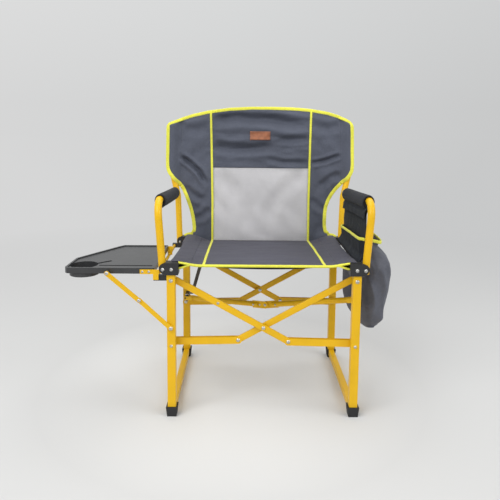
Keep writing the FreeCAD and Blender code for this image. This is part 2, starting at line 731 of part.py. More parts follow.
def build_brace_arm(row, origin, way):
    """Half of the brace: a tube with a fork at the leg end and a flat tongue at the hinge end."""
    name = f"brace_{row}_arm"
    eye, fork = dim("brace_eye"), dim("fork_gap")
    radius = dim("brace_dia") / 2
    tube_end = brace_half - 26.0
    x_axis = Vector(1, 0, 0)
    tube = cut(f"{name}_tube", *[
        cylinder(f"{name}_{tag}", size, str(tube_end - eye), Vector(eye, 0, 0), x_axis)
        for tag, size in (("skin", "Dims.brace_dia / 2"), ("bore", "Dims.brace_dia / 2 - Dims.arm_wall"))])
    ears = []
    for side in (-1, 1):
        low = fork / 2 if side > 0 else -fork / 2 - FORK_WALL
        plate = box(f"{name}_ear{side + 1}", (eye + 14, FORK_WALL, 14), Vector(0, low, -7))
        boss = cylinder(
            f"{name}_boss{side + 1}", "7", str(FORK_WALL), Vector(0, low, 0), Vector(0, 1, 0))
        ears.extend([plate, boss])
    plug_half = fork / 2 + FORK_WALL - 1.5
    plug = box(f"{name}_plug", (6, 2 * plug_half, 12), Vector(eye, -plug_half, -6))
    high = dim("tongue_height") / 2
    thick = dim("tongue_thick")
    tongue_low = -0.4 - thick
    start = brace_half - dim("tongue_length")
    across = Vector(0, 1, 0)
    tongue = box(f"{name}_tongue", (brace_half - start, thick, 2 * high), Vector(start, tongue_low, -high))
    tip = cylinder(f"{name}_tip", str(high), str(thick), Vector(brace_half, tongue_low, 0), across)
    body = fuse(f"{name}_solid", [tube, *ears, plug, tongue, tip])
    hole = cylinder(f"{name}_hole", FIT, str(4 * fork), Vector(0, -2 * fork, 0), across)
    arm = cut(f"{name}_drilled", body, hole)
    finish(arm, name, origin, along(*way))
    tube_rivets = [
        dome(f"{name}_rivet{side + 1}", 3.6, 2.0, Vector(brace_half - 42, side * radius, 0), across * side)
        for side in (-1, 1)]
    rivet_place = Vector(brace_half - 20, tongue_low, 0)
    tongue_rivet = dome(f"{name}_tongue_rivet", 3.6, 2.0, rivet_place, across * -1)
    hinge_head = dome(f"{name}_hinge_head", 5.0, 2.4, Vector(brace_half, tongue_low, 0), across * -1)
    group(f"brace_{row}_rivets", [*tube_rivets, tongue_rivet, hinge_head], origin, along(*way))


def build_brace_mount(row, origin, azimuth, leg_face):
    """The fixed clevis on a leg, its upright pin, and the swivel that turns on it."""
    towards_leg = 1 if row == "rear" else -1
    wall = dim("clevis_wall")
    wide = dim("clevis_width")
    tall = dim("swivel_height")
    upright = Vector(0, 0, 1)
    pieces = []
    for level, z in (("low", origin.z - tall / 2 - 0.3 - wall), ("high", origin.z + tall / 2 + 0.3)):
        low_y, high_y = sorted((origin.y, leg_face))
        pieces.append(box(
            f"brace_{row}_ear_{level}", (wide, high_y - low_y, wall), Vector(origin.x - wide / 2, low_y, z)))
        pieces.append(cylinder(
            f"brace_{row}_ear_end_{level}", "Dims.clevis_width / 2", "Dims.clevis_wall",
            Vector(origin.x, origin.y, z), upright))
    low_y, high_y = sorted((origin.y + towards_leg * 16, leg_face))
    base = tall / 2 + 0.3 + wall
    pieces.append(box(
        f"brace_{row}_block", (14, high_y - low_y, 2 * base), Vector(origin.x - 7, low_y, origin.z - base)))
    clevis = fuse(f"brace_{row}_clevis", pieces)
    hole = cylinder(f"brace_{row}_pin_hole", FIT, "60", origin - upright * 30, upright)
    finish(cut(f"brace_{row}_clevis_drilled", clevis, hole), f"brace_{row}_bracket", Vector())
    pin = bolt(f"brace_{row}_upright_pin", -base, base, (origin, upright))
    finish(pin, f"brace_{row}_pin", Vector())
    barrel = cylinder(
        f"brace_{row}_barrel", "Dims.swivel_dia / 2", "Dims.swivel_height", upright * (-tall / 2), upright)
    reach = dim("fork_gap") / 2 + FORK_WALL + 1.0
    across = Vector(0, 1, 0)
    axle = cylinder(
        f"brace_{row}_axle", "Dims.pin_dia / 2", str(2 * reach), across * -reach, across)
    bore = cylinder(f"brace_{row}_bore", FIT, "40", upright * -20, upright)
    solid = fuse(f"brace_{row}_swivel_solid", [barrel, axle])
    swivel = cut(f"brace_{row}_swivel_drilled", solid, bore)
    finish(swivel, f"brace_{row}_swivel", origin, along(azimuth, 0))


rear_origin = at(*BRACE_REAR)
front_origin = at(*BRACE_FRONT)
build_brace_arm("rear", rear_origin, rear_way)
build_brace_arm("front", front_origin, front_way)
build_brace_mount("rear", rear_origin, rear_way[0], at(0, depth - leg_half, 0).y)
build_brace_mount("front", front_origin, front_way[0], at(0, leg_half, 0).y)


# ---------------------------------------------------------------- side table

TABLE_FRONT = -9.0
TABLE_OUTLINE = [(-321, -9), (-574, -9), (-582, 0), (-580, 104), (-484, 268), (-470, 285), (-321, 287)]
CUP_CENTRE = (-536.0, 36.0)
SLOT_START = (-490.0, 24.0)
STEM_SLOT = [(-508, 52), (-470, 88), (-462, 80), (-500, 44)]
HINGE_BOSS = 7.5
SADDLE_DEPTH = 16.0


def build_table():
    """The moulded top with a raised rim, a cup ring below it, a phone slot and a stem slot."""
    body = new_body("table_top")
    outline = new_sketch(body, "XY_Plane")
    add_outline(outline, TABLE_OUTLINE)
    slab = pad(body, outline, "Dims.table_thick")
    round_edges(body, slab, 5.0, runs_along("Z"))
    cup_x, cup_y = str(CUP_CENTRE[0]), str(CUP_CENTRE[1])
    ring = new_sketch(body, "XY_Plane")
    add_circle(ring, "Dims.cup_dia / 2 + Dims.cup_wall", "boss", cup_x, cup_y)
    pad(body, ring, "Dims.cup_drop", reverse=True)
    tray = new_sketch(body, "XY_Plane")
    tray.AttachmentOffset = Placement(Vector(0, 0, dim("table_thick") - 3.0), Rotation())
    rim = dim("table_rim")
    add_outline(tray, [
        (-321 - rim, TABLE_FRONT + rim), (-571, TABLE_FRONT + rim), (-576, 3), (-574, 102),
        (-480, 262), (-468, 279), (-321 - rim, 281)])
    pocket(body, tray, "4", reverse=True)
    cup = new_sketch(body, "XY_Plane")
    cup.AttachmentOffset = Placement(Vector(0, 0, 3.0 - dim("cup_drop")), Rotation())
    add_circle(cup, "Dims.cup_dia / 2", "cup", cup_x, cup_y)
    pocket(body, cup, "Dims.cup_drop + Dims.table_thick", reverse=True)
    slots = new_sketch(body, "XY_Plane")
    x, y = SLOT_START
    length, width = dim("slot_length"), dim("slot_width")
    add_outline(slots, [(x, y), (x + length, y), (x + length, y + width), (x, y + width)])
    add_outline(slots, STEM_SLOT)
    pocket(body, slots)
    finish(body, "table_top", at(0, 0, TABLE_HINGE[1] + dim("table_rise")))


def build_table_frame():
    """The hinge rod under the table's inner edge and the flat straps on its front and rear faces."""
    hinge_x, hinge_z = TABLE_HINGE
    backwards = Vector(0, 1, 0)
    rod = cylinder("table_rod", "Dims.rod_dia / 2", "440", at(hinge_x, -10, hinge_z), backwards)
    thick = dim("strap_thick")
    pieces = [rod]
    for tag, y in (("front", TABLE_FRONT - 0.3 - thick), ("rear", 287.3)):
        pieces.append(box(
            f"table_strap_{tag}", (56, "Dims.strap_thick", 13), at(-362, y, hinge_z + 13.0)))
        pieces.append(box(
            f"table_tab_{tag}", (16, "Dims.strap_thick", 30), at(hinge_x - 8, y, hinge_z - 4)))
    finish(fuse("table_frame_solid", pieces), "table_frame", Vector())
    rivets = []
    for tag, y, facing in (("front", TABLE_FRONT - 0.3 - thick, -1), ("rear", 287.3 + thick, 1)):
        for i, x in enumerate((-355.0, -336.0)):
            rivets.append(dome(
                f"table_rivet_{tag}{i}", 4.0, 1.8, at(x, y, hinge_z + 19.5), Vector(0, facing, 0)))
    boss_place = at(STAY_TOP[0], STAY_LOWER_Y + 0.3, STAY_TOP[1])
    length = TABLE_FRONT - STAY_LOWER_Y - 0.3
    rivets.append(cylinder("table_stay_boss", "5", str(length), boss_place, backwards))
    group("table_rivets", rivets)


def build_hinge_saddles():
    """Two blocks on the left legs' outer faces, in which the table's hinge rod turns."""
    hinge_x, hinge_z = TABLE_HINGE
    outer_face = -half - leg_half
    saddles = []
    for row in ("front", "rear"):
        y = layer(row, 0) - SADDLE_DEPTH / 2
        size = (outer_face - hinge_x + HINGE_BOSS, SADDLE_DEPTH, 2 * HINGE_BOSS)
        block = box(f"saddle_{row}_block", size, at(hinge_x - HINGE_BOSS, y, hinge_z - HINGE_BOSS))
        bore = cylinder(
            f"saddle_{row}_bore", "Dims.rod_dia / 2 + Dims.hole_play", "60",
            at(hinge_x, y - 20, hinge_z), Vector(0, 1, 0))
        saddles.append(cut(f"saddle_{row}", block, bore))
    group("table_hinge_saddles", saddles)


def stay_points():
    """The stay's leg pivot, middle pivot and table pivot, in the front view."""
    low, high = Vector(*STAY_PIVOT, 0), Vector(*STAY_TOP, 0)
    middle = low + (high - low) * 0.505
    across = Vector(-(high - low).y, (high - low).x, 0).normalize()
    return low, middle - across * STAY_SAG, high


def build_stay():
    """The folding stay: two flat bars, their middle bolt and the bolt through the leg."""
    low, middle, high = stay_points()
    thick = dim("stay_thick")
    lower_y = STAY_LOWER_Y - thick / 2
    upper_y = lower_y - thick - 0.5
    bars = (("table_stay_lower", low, middle, lower_y), ("table_stay_upper", middle, high, upper_y))
    for name, start, end, y in bars:
        body = new_body(name)
        outline = new_sketch(body, "XZ_Plane")
        run = end - start
        add_round_bar(outline, str(run.Length), "Dims.stay_width / 2")
        pad(body, outline, "Dims.stay_thick", symmetric=True)
        holes = new_sketch(body, "XZ_Plane")
        add_circle(holes, FIT, "first", "0", "0")
        if name == "table_stay_lower":
            add_circle(holes, FIT, "last", str(run.Length), "0")
        pocket(body, holes)
        angle = math.degrees(math.atan2(run.y, run.x))
        finish(body, name, at(start.x, y, start.y), in_front_view(angle))
    inward = Vector(0, 1, 0)
    front = upper_y - thick / 2 - 0.2
    middle_axis = (at(middle.x, 0, middle.y), inward)
    head_place = start_place(middle_axis, front)
    mid_bolt = fuse("stay_middle_bolt", [
        cylinder("stay_middle_shank", "Dims.pin_dia / 2", str(STAY_LOWER_Y - front), head_place, inward),
        dome("stay_middle_head", 5.5, 2.2, head_place, inward * -1)])
    finish(mid_bolt, "table_stay_bolt", Vector())
    leg_axis = (at(low.x, 0, low.y), inward)
    spacer = (STAY_LOWER_Y + 0.2, -leg_half, 6.0)
    leg_bolt = bolt("stay_leg_bolt_solid", STAY_LOWER_Y - thick - 0.2, leg_half, leg_axis, [spacer])
    finish(leg_bolt, "stay_leg_bolt", Vector())
    facing = Vector(0, -1, 0)
    top_place = at(high.x, upper_y - thick / 2, high.y)
    top_rivet = dome("stay_top_rivet_dome", 5.5, 2.2, top_place, facing)
    finish(top_rivet, "stay_top_rivet", top_place, top_rivet.Placement.Rotation)


build_table()
build_table_frame()
build_hinge_saddles()
build_stay()


# ---------------------------------------------------------------- soft parts

def build_seat():
    """The sling seat between the two rails."""
    body = new_body("seat_cover")
    section = new_sketch(body, "XY_Plane")
    between_rails = "Dims.leg_spacing - 2 * Dims.rail_inset - Dims.rail_dia - 4"
    add_rectangle(section, between_rails, "Dims.frame_depth - 16")
    pad(body, section, "Dims.seat_thick")
    slope = Rotation(Vector(1, 0, 0), -SEAT_SLOPE)
    finish(body, "seat_cover", at(0, depth / 2 - 2, dim("seat_z") - dim("rear_drop") / 2), slope)


def build_back():
    """The back rest: a flat panel between the uprights with cut-away lower corners and a low arch."""
    body = new_body("back_cover")
    outline = new_sketch(body, "XZ_Plane")
    right = [(246, 4), (243, 40), (246, 92), (260, 146), (284, 196), (312, 244), (312, 440)]
    crown = [(180, 478), (0, 500), (-180, 478)]
    left = [(-x, z) for x, z in reversed(right)]
    add_outline(outline, right + crown + left)
    pad(body, outline, "Dims.back_thick", symmetric=True)
    tilt = Rotation(Vector(1, 0, 0), -dim("back_lean"))
    finish(body, "back_cover", at(0, depth + 8, 440), tilt)


def build_organiser():
    """The panel that hangs from the right arm, and the deep bag below it."""
    panel = box("organiser_panel_box", ("Dims.panel_thick", 384, 150), at(297, 16, 452))
    finish(panel, "organiser_panel", panel.Placement.Base)
    body = new_body("side_bag")
    profile = new_sketch(body, "XZ_Plane")
    wide = dim("bag_width")
    inner = [(52, 300), (6, 300), (4, 180), (0, 30), (26, 0)]
    add_outline(profile, inner + [(72, 0), (wide - 8, 60), (wide, 210)])
    pad(body, profile, "300", reverse=True)
    finish(body, "side_bag", at(304, 28, 222))


build_seat()
build_back()
build_organiser()


# ---------------------------------------------------------------- checks and files

doc.recompute()
for obj in doc.Objects:
    if "Invalid" in obj.State or "Error" in obj.State:
        raise RuntimeError(f"{obj.Name} ({obj.Label}) is {obj.State}")
os.makedirs("parts", exist_ok=True)
for obj in SUB_PARTS:
    if obj.Shape.isNull() or not obj.Shape.isValid() or obj.Shape.Volume <= 0:
        raise RuntimeError(f"{obj.Label} has no valid solid")
    obj.Shape.exportStep(f"parts/{obj.Label}.step")
print(f"{len(SUB_PARTS)} sub-parts")
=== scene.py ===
"""The looks of the folding director chair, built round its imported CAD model.

Shapes are first written in the chair's own coordinates, in millimetres: x from the plane half way
between the side frames, y from the front legs' axis plane towards the back, z from the floor.
at() turns them into the frame's metres, from where the CAD legs stand.
"""
import json
import math

import bpy
from mathutils import Matrix, Vector, noise


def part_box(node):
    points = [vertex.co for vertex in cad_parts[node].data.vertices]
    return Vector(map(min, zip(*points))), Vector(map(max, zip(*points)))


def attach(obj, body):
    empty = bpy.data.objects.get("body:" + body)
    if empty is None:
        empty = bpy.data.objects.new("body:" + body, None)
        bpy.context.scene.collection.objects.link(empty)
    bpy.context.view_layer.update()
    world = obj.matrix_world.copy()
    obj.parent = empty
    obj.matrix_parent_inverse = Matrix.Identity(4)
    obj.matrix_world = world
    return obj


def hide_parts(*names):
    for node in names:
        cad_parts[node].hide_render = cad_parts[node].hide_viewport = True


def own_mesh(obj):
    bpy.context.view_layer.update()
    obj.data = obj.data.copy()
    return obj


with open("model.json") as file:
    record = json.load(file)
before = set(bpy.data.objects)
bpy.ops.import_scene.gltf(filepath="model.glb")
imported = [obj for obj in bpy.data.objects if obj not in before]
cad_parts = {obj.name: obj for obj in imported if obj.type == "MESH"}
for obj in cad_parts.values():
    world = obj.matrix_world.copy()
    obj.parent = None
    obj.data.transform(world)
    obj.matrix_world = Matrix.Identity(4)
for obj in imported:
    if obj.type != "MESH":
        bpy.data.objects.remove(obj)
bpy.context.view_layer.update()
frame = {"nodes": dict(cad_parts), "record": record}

left_leg_box, right_leg_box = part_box("left_front_leg"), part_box("right_front_leg")
CHAIR = Vector((
    (left_leg_box[0][0] + right_leg_box[1][0]) / 2,
    (left_leg_box[0][1] + left_leg_box[1][1]) / 2,
    0))
SIDES = (("left", -1), ("right", 1))
UP = Vector((0, 0, 1))


def at(x, y, z):
    """A place in the frame, in metres, from one in the chair's own millimetres."""
    return CHAIR + Vector((x, y, z)) / 1000


def smooth(t):
    """An even rise from 0 to 1."""
    t = min(max(t, 0.0), 1.0)
    return t * t * (3 - 2 * t)


def mix(a, b, t):
    """The value a share t of the way from a to b."""
    return a + (b - a) * t


def spread(low, high, count):
    """Places from low to high in so many equal steps."""
    return [mix(low, high, k / count) for k in range(count + 1)]


def turns(count):
    """The angles of so many equal steps once round."""
    return [2 * math.pi * k / count for k in range(count)]


def lookup(table, value):
    """Straight-line interpolation in a table of (key, value) rows, by rising key."""
    if value <= table[0][0]:
        return table[0][1]
    for (k0, v0), (k1, v1) in zip(table, table[1:]):
        if value <= k1:
            return v0 + (v1 - v0) * (value - k0) / (k1 - k0)
    return table[-1][1]


def rough(x, y, z, scale, seed):
    """Smooth noise from -1 to 1 at a wavelength in millimetres."""
    return noise.noise(Vector((x / scale + seed, y / scale - seed, z / scale + 2 * seed)))


def smooth_path(points, per_span):
    """A Catmull-Rom line through the points."""
    out = []
    pts = [Vector(p) for p in points]
    for i in range(len(pts) - 1):
        p0, p1, p2, p3 = pts[max(i - 1, 0)], pts[i], pts[i + 1], pts[min(i + 2, len(pts) - 1)]
        for k in range(per_span):
            t = k / per_span
            out.append(0.5 * (2 * p1 + (p2 - p0) * t + (2 * p0 - 5 * p1 + 4 * p2 - p3) * t * t
                              + (3 * p1 - p0 - 3 * p2 + p3) * t ** 3))
    out.append(pts[-1])
    return out


# ---------------------------------------------------------------- materials

def new_material(name):
    """A material, its node tree, its shader and the object's coordinates."""
    material = bpy.data.materials.new(name)
    material.use_nodes = True
    tree = material.node_tree
    coords = tree.nodes.new("ShaderNodeTexCoord").outputs["Object"]
    return material, tree, tree.nodes["Principled BSDF"], coords


def settle(shader, **values):
    """Sets the shader's own sockets; an underscore stands for a space."""
    for name, value in values.items():
        shader.inputs[name.replace("_", " ")].default_value = value


def node(tree, kind, **settings):
    """A new node with its inputs or its own settings given by name."""
    made = tree.nodes.new(kind)
    for key, value in settings.items():
        if key in made.inputs:
            made.inputs[key].default_value = value
        else:
            setattr(made, key, value)
    return made


def math_node(tree, operation, *values):
    """A maths node of numbers and sockets."""
    made = node(tree, "ShaderNodeMath", operation=operation)
    for socket, value in zip(made.inputs, values):
        if isinstance(value, (int, float)):
            socket.default_value = value
        else:
            tree.links.new(value, socket)
    return made.outputs[0]


def ramp(tree, factor, stops, into=None):
    """Colours by a factor, as (place, colour or grey level) stops, linked into a socket if one is given."""
    made = tree.nodes.new("ShaderNodeValToRGB")
    elements = made.color_ramp.elements
    while len(elements) < len(stops):
        elements.new(0.5)
    for element, (place, colour) in zip(elements, stops):
        if not isinstance(colour, tuple):
            colour = (colour,) * 3
        element.position = place
        element.color = (*colour, 1)
    tree.links.new(factor, made.inputs["Fac"])
    if into is not None:
        tree.links.new(made.outputs["Color"], into)
    return made.outputs["Color"]


def darken(tree, base, by, share, into):
    """The base colour multiplied by another one, to a share."""
    mixed = node(tree, "ShaderNodeMixRGB", blend_type="MULTIPLY", Fac=share)
    tree.links.new(base, mixed.inputs["Color1"])
    tree.links.new(by, mixed.inputs["Color2"])
    tree.links.new(mixed.outputs[0], into)


def noise_node(tree, coords, scale, detail, roughness=0.55):
    """Smooth noise over the object, at so many waves to the metre."""
    made = node(tree, "ShaderNodeTexNoise", Scale=scale, Detail=detail, Roughness=roughness)
    tree.links.new(coords, made.inputs["Vector"])
    return made.outputs["Fac"]


def bump(tree, shader, height, strength, distance, below=None):
    """Gives the shader a bump by height, over another bump if one is given."""
    made = node(tree, "ShaderNodeBump", Strength=strength, Distance=distance)
    tree.links.new(height, made.inputs["Height"])
    if below is not None:
        tree.links.new(below, made.inputs["Normal"])
    tree.links.new(made.outputs["Normal"], shader.inputs["Normal"])
    return made.outputs["Normal"]


def shade(colour, factor):
    """A darker or lighter tone of a colour."""
    return tuple(min(c * factor, 1.0) for c in colour)


def weave_height(tree, coords, axes, pitch):
    """A plain weave: threads cross over and under at the pitch, along two of the object's axes."""
    split = tree.nodes.new("ShaderNodeSeparateXYZ")
    tree.links.new(coords, split.inputs[0])
    waves = [
        math_node(tree, "SINE", math_node(tree, "MULTIPLY", split.outputs[axis], math.pi / pitch))
        for axis in axes]
    return math_node(tree, "MULTIPLY_ADD", math_node(tree, "MULTIPLY", *waves), 0.5, 0.5)


def fabric(name, colour, axes, pitch=0.0011, depth=0.0002, crease=0.35, sheen=0.07):
    """Woven polyester: crossing threads, faint slubs, slow colour drift and soft creases."""
    material, tree, shader, coords = new_material(name)
    weave = weave_height(tree, coords, ["XYZ".index(a) for a in axes], pitch)
    drift = math_node(tree, "MULTIPLY", noise_node(tree, coords, 7.0, 5.0, 0.6), 0.62)
    slub = math_node(tree, "MULTIPLY", noise_node(tree, coords, 160.0, 3.0), 0.38)
    tones = [(0.3, shade(colour, 0.80)), (0.52, colour), (0.75, shade(colour, 1.22))]
    base = ramp(tree, math_node(tree, "ADD", drift, slub), tones)
    darken(tree, base, ramp(tree, weave, [(0.1, 0.62), (0.8, 1.0)]), 0.35, shader.inputs["Base Color"])
    creases = noise_node(tree, coords, 22.0, 6.0, 0.5)
    soft = bump(tree, shader, creases, crease, 0.004)
    bump(tree, shader, weave, 0.5, depth, soft)
    settle(shader, Roughness=0.82, Sheen_Weight=sheen, Sheen_Roughness=0.45, Specular_IOR_Level=0.35)
    return material


def mesh_fabric(name, colour):
    """Open spacer mesh: rows of small round holes in a knitted sheet, with painted shade in and round each
    hole.
    """
    material, tree, shader, coords = new_material(name)
    pitch = 0.0028
    split = tree.nodes.new("ShaderNodeSeparateXYZ")
    tree.links.new(coords, split.inputs[0])
    across, up = (
        math_node(tree, "COSINE", math_node(tree, "MULTIPLY", split.outputs[axis], 2 * math.pi / pitch))
        for axis in (0, 2))
    height = math_node(tree, "MULTIPLY_ADD", math_node(tree, "ADD", across, up), 0.25, 0.5)
    drift = noise_node(tree, coords, 9.0, 4.0)
    base = ramp(tree, drift, [(0.3, shade(colour, 0.86)), (0.7, shade(colour, 1.08))])
    # painted shade: each hole and its rim are darkened
    holes = ramp(tree, height, [(0.06, (0.30, 0.30, 0.32)), (0.38, 1.0)])
    darken(tree, base, holes, 0.75, shader.inputs["Base Color"])
    ramp(tree, height, [(0.03, 0.35), (0.14, 1.0)], shader.inputs["Alpha"])
    soft = bump(tree, shader, noise_node(tree, coords, 14.0, 5.0), 0.3, 0.004)
    bump(tree, shader, height, 0.6, 0.0004, soft)
    settle(shader, Roughness=0.7, Sheen_Weight=0.2)
    return material


def powder_coat(name, colour):
    """Satin powder coat: fine orange peel, faint handling marks and slow tone drift."""
    material, tree, shader, coords = new_material(name)
    drift = noise_node(tree, coords, 6.0, 5.0, 0.6)
    base = ramp(tree, drift, [(0.25, shade(colour, 0.86)), (0.5, colour), (0.8, shade(colour, 1.07))])
    marks = noise_node(tree, coords, 55.0, 8.0, 0.75)
    scuffs = node(tree, "ShaderNodeMixRGB", blend_type="MIX", Color2=(*shade(colour, 0.6), 1))
    ramp(tree, marks, [(0.68, 0.0), (0.80, 0.35)], scuffs.inputs["Fac"])
    tree.links.new(base, scuffs.inputs["Color1"])
    tree.links.new(scuffs.outputs[0], shader.inputs["Base Color"])
    ramp(tree, marks, [(0.3, 0.30), (0.75, 0.46)], shader.inputs["Roughness"])
    bump(tree, shader, noise_node(tree, coords, 900.0, 2.0), 0.12, 0.0003)
    settle(shader, Specular_IOR_Level=0.3, Coat_Weight=0.06, Coat_Roughness=0.22)
    return material


def moulded(name, colour, roughness, grain=420.0, strength=0.25):
    """Moulded plastic or rubber with a fine spark-eroded grain."""
    material, tree, shader, coords = new_material(name)
    drift = noise_node(tree, coords, 18.0, 6.0, 0.65)
    ramp(tree, drift, [(0.3, shade(colour, 0.82)), (0.75, shade(colour, 1.25))], shader.inputs["Base Color"])
    ramp(tree, drift, [(0.3, roughness * 0.88), (0.7, roughness * 1.12)], shader.inputs["Roughness"])
    bump(tree, shader, noise_node(tree, coords, grain, 3.0), strength, 0.0004)
    return material


def plated(name, colour):
    """Zinc-plated steel with fine turning marks."""
    material, tree, shader, coords = new_material(name)
    drift = noise_node(tree, coords, 240.0, 6.0, 0.7)
    ramp(tree, drift, [(0.3, shade(colour, 0.75)), (0.7, shade(colour, 1.1))], shader.inputs["Base Color"])
    ramp(tree, drift, [(0.3, 0.22), (0.7, 0.42)], shader.inputs["Roughness"])
    bump(tree, shader, drift, 0.15, 0.0003)
    settle(shader, Metallic=1.0)
    return material


def leather(name, colour):
    """Leather: small cells and a slow tone drift."""
    material, tree, shader, coords = new_material(name)
    cells = node(tree, "ShaderNodeTexVoronoi", Scale=700.0)
    tree.links.new(coords, cells.inputs["Vector"])
    drift = noise_node(tree, coords, 60.0, 5.0)
    ramp(tree, drift, [(0.3, shade(colour, 0.75)), (0.7, shade(colour, 1.2))], shader.inputs["Base Color"])
    bump(tree, shader, cells.outputs["Distance"], 0.4, 0.0004)
    settle(shader, Roughness=0.55)
    return material


back_fabric = fabric("slate_fabric", (0.086, 0.095, 0.126), "XZ")
# the seat's copy of the slate fabric lies flat and is a darker tone than the back's: painted shade
shaded_seat_fabric = fabric("slate_fabric_flat_shaded", (0.070, 0.070, 0.094), "XY")
# the organiser's copy of the bag fabric is far darker than the bag's own: painted shade, for the shade under
# the arm pad
shaded_organiser_fabric = fabric("bag_fabric", (0.0125, 0.0155, 0.0215), "YZ", crease=0.5, sheen=0.02)
bag_cloth = fabric("bag_fabric_outer", (0.112, 0.117, 0.142), "YZ", crease=0.9)
pad_cloth = fabric("pad_fabric", (0.021, 0.023, 0.030), "YZ", crease=0.25, sheen=0.03)
dark_lining = fabric("dark_lining", (0.022, 0.022, 0.025), "XY", crease=0.3)
webbing = fabric("webbing", (0.048, 0.040, 0.034), "XZ", pitch=0.0018, depth=0.0004)
grey_mesh = mesh_fabric("grey_mesh", (0.60, 0.59, 0.605))
lime_tape = fabric("lime_piping", (0.78, 0.76, 0.075), "XZ", pitch=0.0009, crease=0.2, sheen=0.15)
thread = fabric("thread", (0.16, 0.17, 0.20), "XZ", pitch=0.0006, crease=0.1)
tab_leather = leather("label_leather", (0.30, 0.105, 0.045))
yellow_paint = powder_coat("frame_yellow", (0.80, 0.465, 0.006))
black_plastic = moulded("black_plastic", (0.018, 0.018, 0.019), 0.42)
foot_rubber = moulded("foot_rubber", (0.020, 0.020, 0.022), 0.75, grain=260.0, strength=0.4)
table_plastic = moulded("table_plastic", (0.040, 0.041, 0.043), 0.34, grain=650.0, strength=0.3)
zinc_steel = plated("zinc_steel", (0.62, 0.62, 0.60))

LOOKS = {
    "frame_yellow": yellow_paint, "black_plastic": black_plastic, "foot_rubber": foot_rubber,
    "zinc_steel": zinc_steel, "table_plastic": table_plastic, "slate_fabric": back_fabric,
    "pad_fabric": pad_cloth, "bag_fabric": bag_cloth,
}
node_slots = {part["node"]: part["material_slot"] for part in frame["record"]["subparts"]}
for name, cad in frame["nodes"].items():
    cad.data.materials.clear()
    cad.data.materials.append(LOOKS[node_slots[name]])


# ---------------------------------------------------------------- mesh helpers

def make_mesh(name, points, faces, material):
    """A new smooth-shaded piece."""
    mesh = bpy.data.meshes.new(name)
    mesh.from_pydata([tuple(p) for p in points], [], faces)
    mesh.validate()
    mesh.shade_smooth()
    mesh.materials.append(material)
    piece = bpy.data.objects.new(name, mesh)
    bpy.context.scene.collection.objects.link(piece)
    return piece


def grid(name, rows, material, closed=False, shut=False):
    """A surface over rows of points; closed joins each row's end to its start, shut fills both ends."""
    count = len(rows[0])
    faces = []
    for i in range(len(rows) - 1):
        for j in range(count if closed else count - 1):
            k = (j + 1) % count
            faces.append((i * count + j, i * count + k, (i + 1) * count + k, (i + 1) * count + j))
    if shut:
        last = (len(rows) - 1) * count
        faces += [tuple(reversed(range(count))), tuple(range(last, last + count))]
    return make_mesh(name, [p for row in rows for p in row], faces, material)


def apply(piece, kind, **settings):
    """Adds a modifier and keeps its result as the mesh."""
    modifier = piece.modifiers.new(kind, kind)
    for key, value in settings.items():
        setattr(modifier, key, value)
    bpy.context.view_layer.update()
    result = bpy.data.meshes.new_from_object(piece.evaluated_get(bpy.context.evaluated_depsgraph_get()))
    piece.modifiers.clear()
    piece.data = result
    result.shade_smooth()
    return piece


def thicken(piece, thickness, offset=0.0):
    """Gives a surface a thickness in millimetres, on both its sides or, by offset, on one."""
    return apply(piece, "SOLIDIFY", thickness=thickness / 1000, offset=offset)


def patch(name, steps, place, material, thickness=1.6):
    """A sheet of steps (up, across); place gives a point by the shares of its height and width."""
    up, across = steps
    rows = [[place(i / up, j / across) for j in range(across + 1)] for i in range(up + 1)]
    return thicken(grid(name, rows, material), thickness)


OVAL = [(math.cos(a), math.sin(a)) for a in turns(12)]


def sweep(name, path, out, width, thick, material):
    """A closed strip with a rounded flat section along a path; its flat face looks out, one way or many."""
    outs = out if isinstance(out, list) else [out] * len(path)
    rows = []
    for i, place in enumerate(path):
        ahead = (path[min(i + 1, len(path) - 1)] - path[max(i - 1, 0)]).normalized()
        side = ahead.cross(outs[i]).normalized()
        up = side.cross(ahead).normalized()
        rows.append([
            place + side * (math.copysign(abs(a) ** 0.6, a) * width / 2000)
            + up * (math.copysign(abs(b) ** 0.8, b) * thick / 2000) for a, b in OVAL])
    return grid(name, rows, material, closed=True, shut=True)


def stitches(name, path, out, pitch=5.0, length=3.0, size=0.7):
    """A row of short raised stitches along a path, on a face that looks out."""
    points, faces = [], []
    travelled, due = 0.0, pitch / 2
    sides = 6
    for here, there in zip(path, path[1:]):
        step = there - here
        span = step.length * 1000
        if span < 1e-6:
            continue
        ahead = step.normalized()
        side = ahead.cross(out).normalized()
        up = side.cross(ahead).normalized()
        while due <= travelled + span:
            centre = here + ahead * ((due - travelled) / 1000)
            start = len(points)
            for along, fat in ((-0.5, 0.35), (-0.25, 1.0), (0.25, 1.0), (0.5, 0.35)):
                for k in range(sides):
                    turn = 2 * math.pi / sides * k
                    points.append(
                        centre + ahead * (along * length / 1000)
                        + side * (math.cos(turn) * fat * size / 2000)
                        + up * (math.sin(turn) * fat * size / 2000))
            for ring in range(3):
                for k in range(sides):
                    a, b = start + ring * sides + k, start + ring * sides + (k + 1) % sides
                    faces.append((a, b, b + sides, a + sides))
            faces.append(tuple(start + k for k in reversed(range(sides))))
            faces.append(tuple(start + 3 * sides + k for k in range(sides)))
            due += pitch
        travelled += span
    return make_mesh(name, points, faces, thread)


# ---------------------------------------------------------------- where the cloth lies

LEAN = math.tan(math.radians(9.6))      # of the uprights and the back cover
RAIL_X, RAIL_Z = 262.0, 458.0       # the seat rails' axis at the front legs
RAIL_FALL = 11.5        # and its fall to the rear legs
REAR_Y = 420        # the rear legs' axis
COVER_Z = 440       # the back cover's lower edge, in the middle
TUBE_ROOM = 12.6        # from a tube's axis to the cloth round it
SLEEVE_X = 216      # where the seat's sheet meets its rail sleeves
SEAT_PIPING_X = 178.3
SEAM_X = 298.0      # where the back cover's middle part ends and its sleeves begin
SLEEVE_EASE = 6     # how far a sleeve reaches past the cover's corner
# directions that strips and stitches look out in
TO_SITTER, FRONT, BRIM = Vector((0, -1, 0.2)), Vector((0, -1, 0.17)), Vector((0, -0.4, 1))
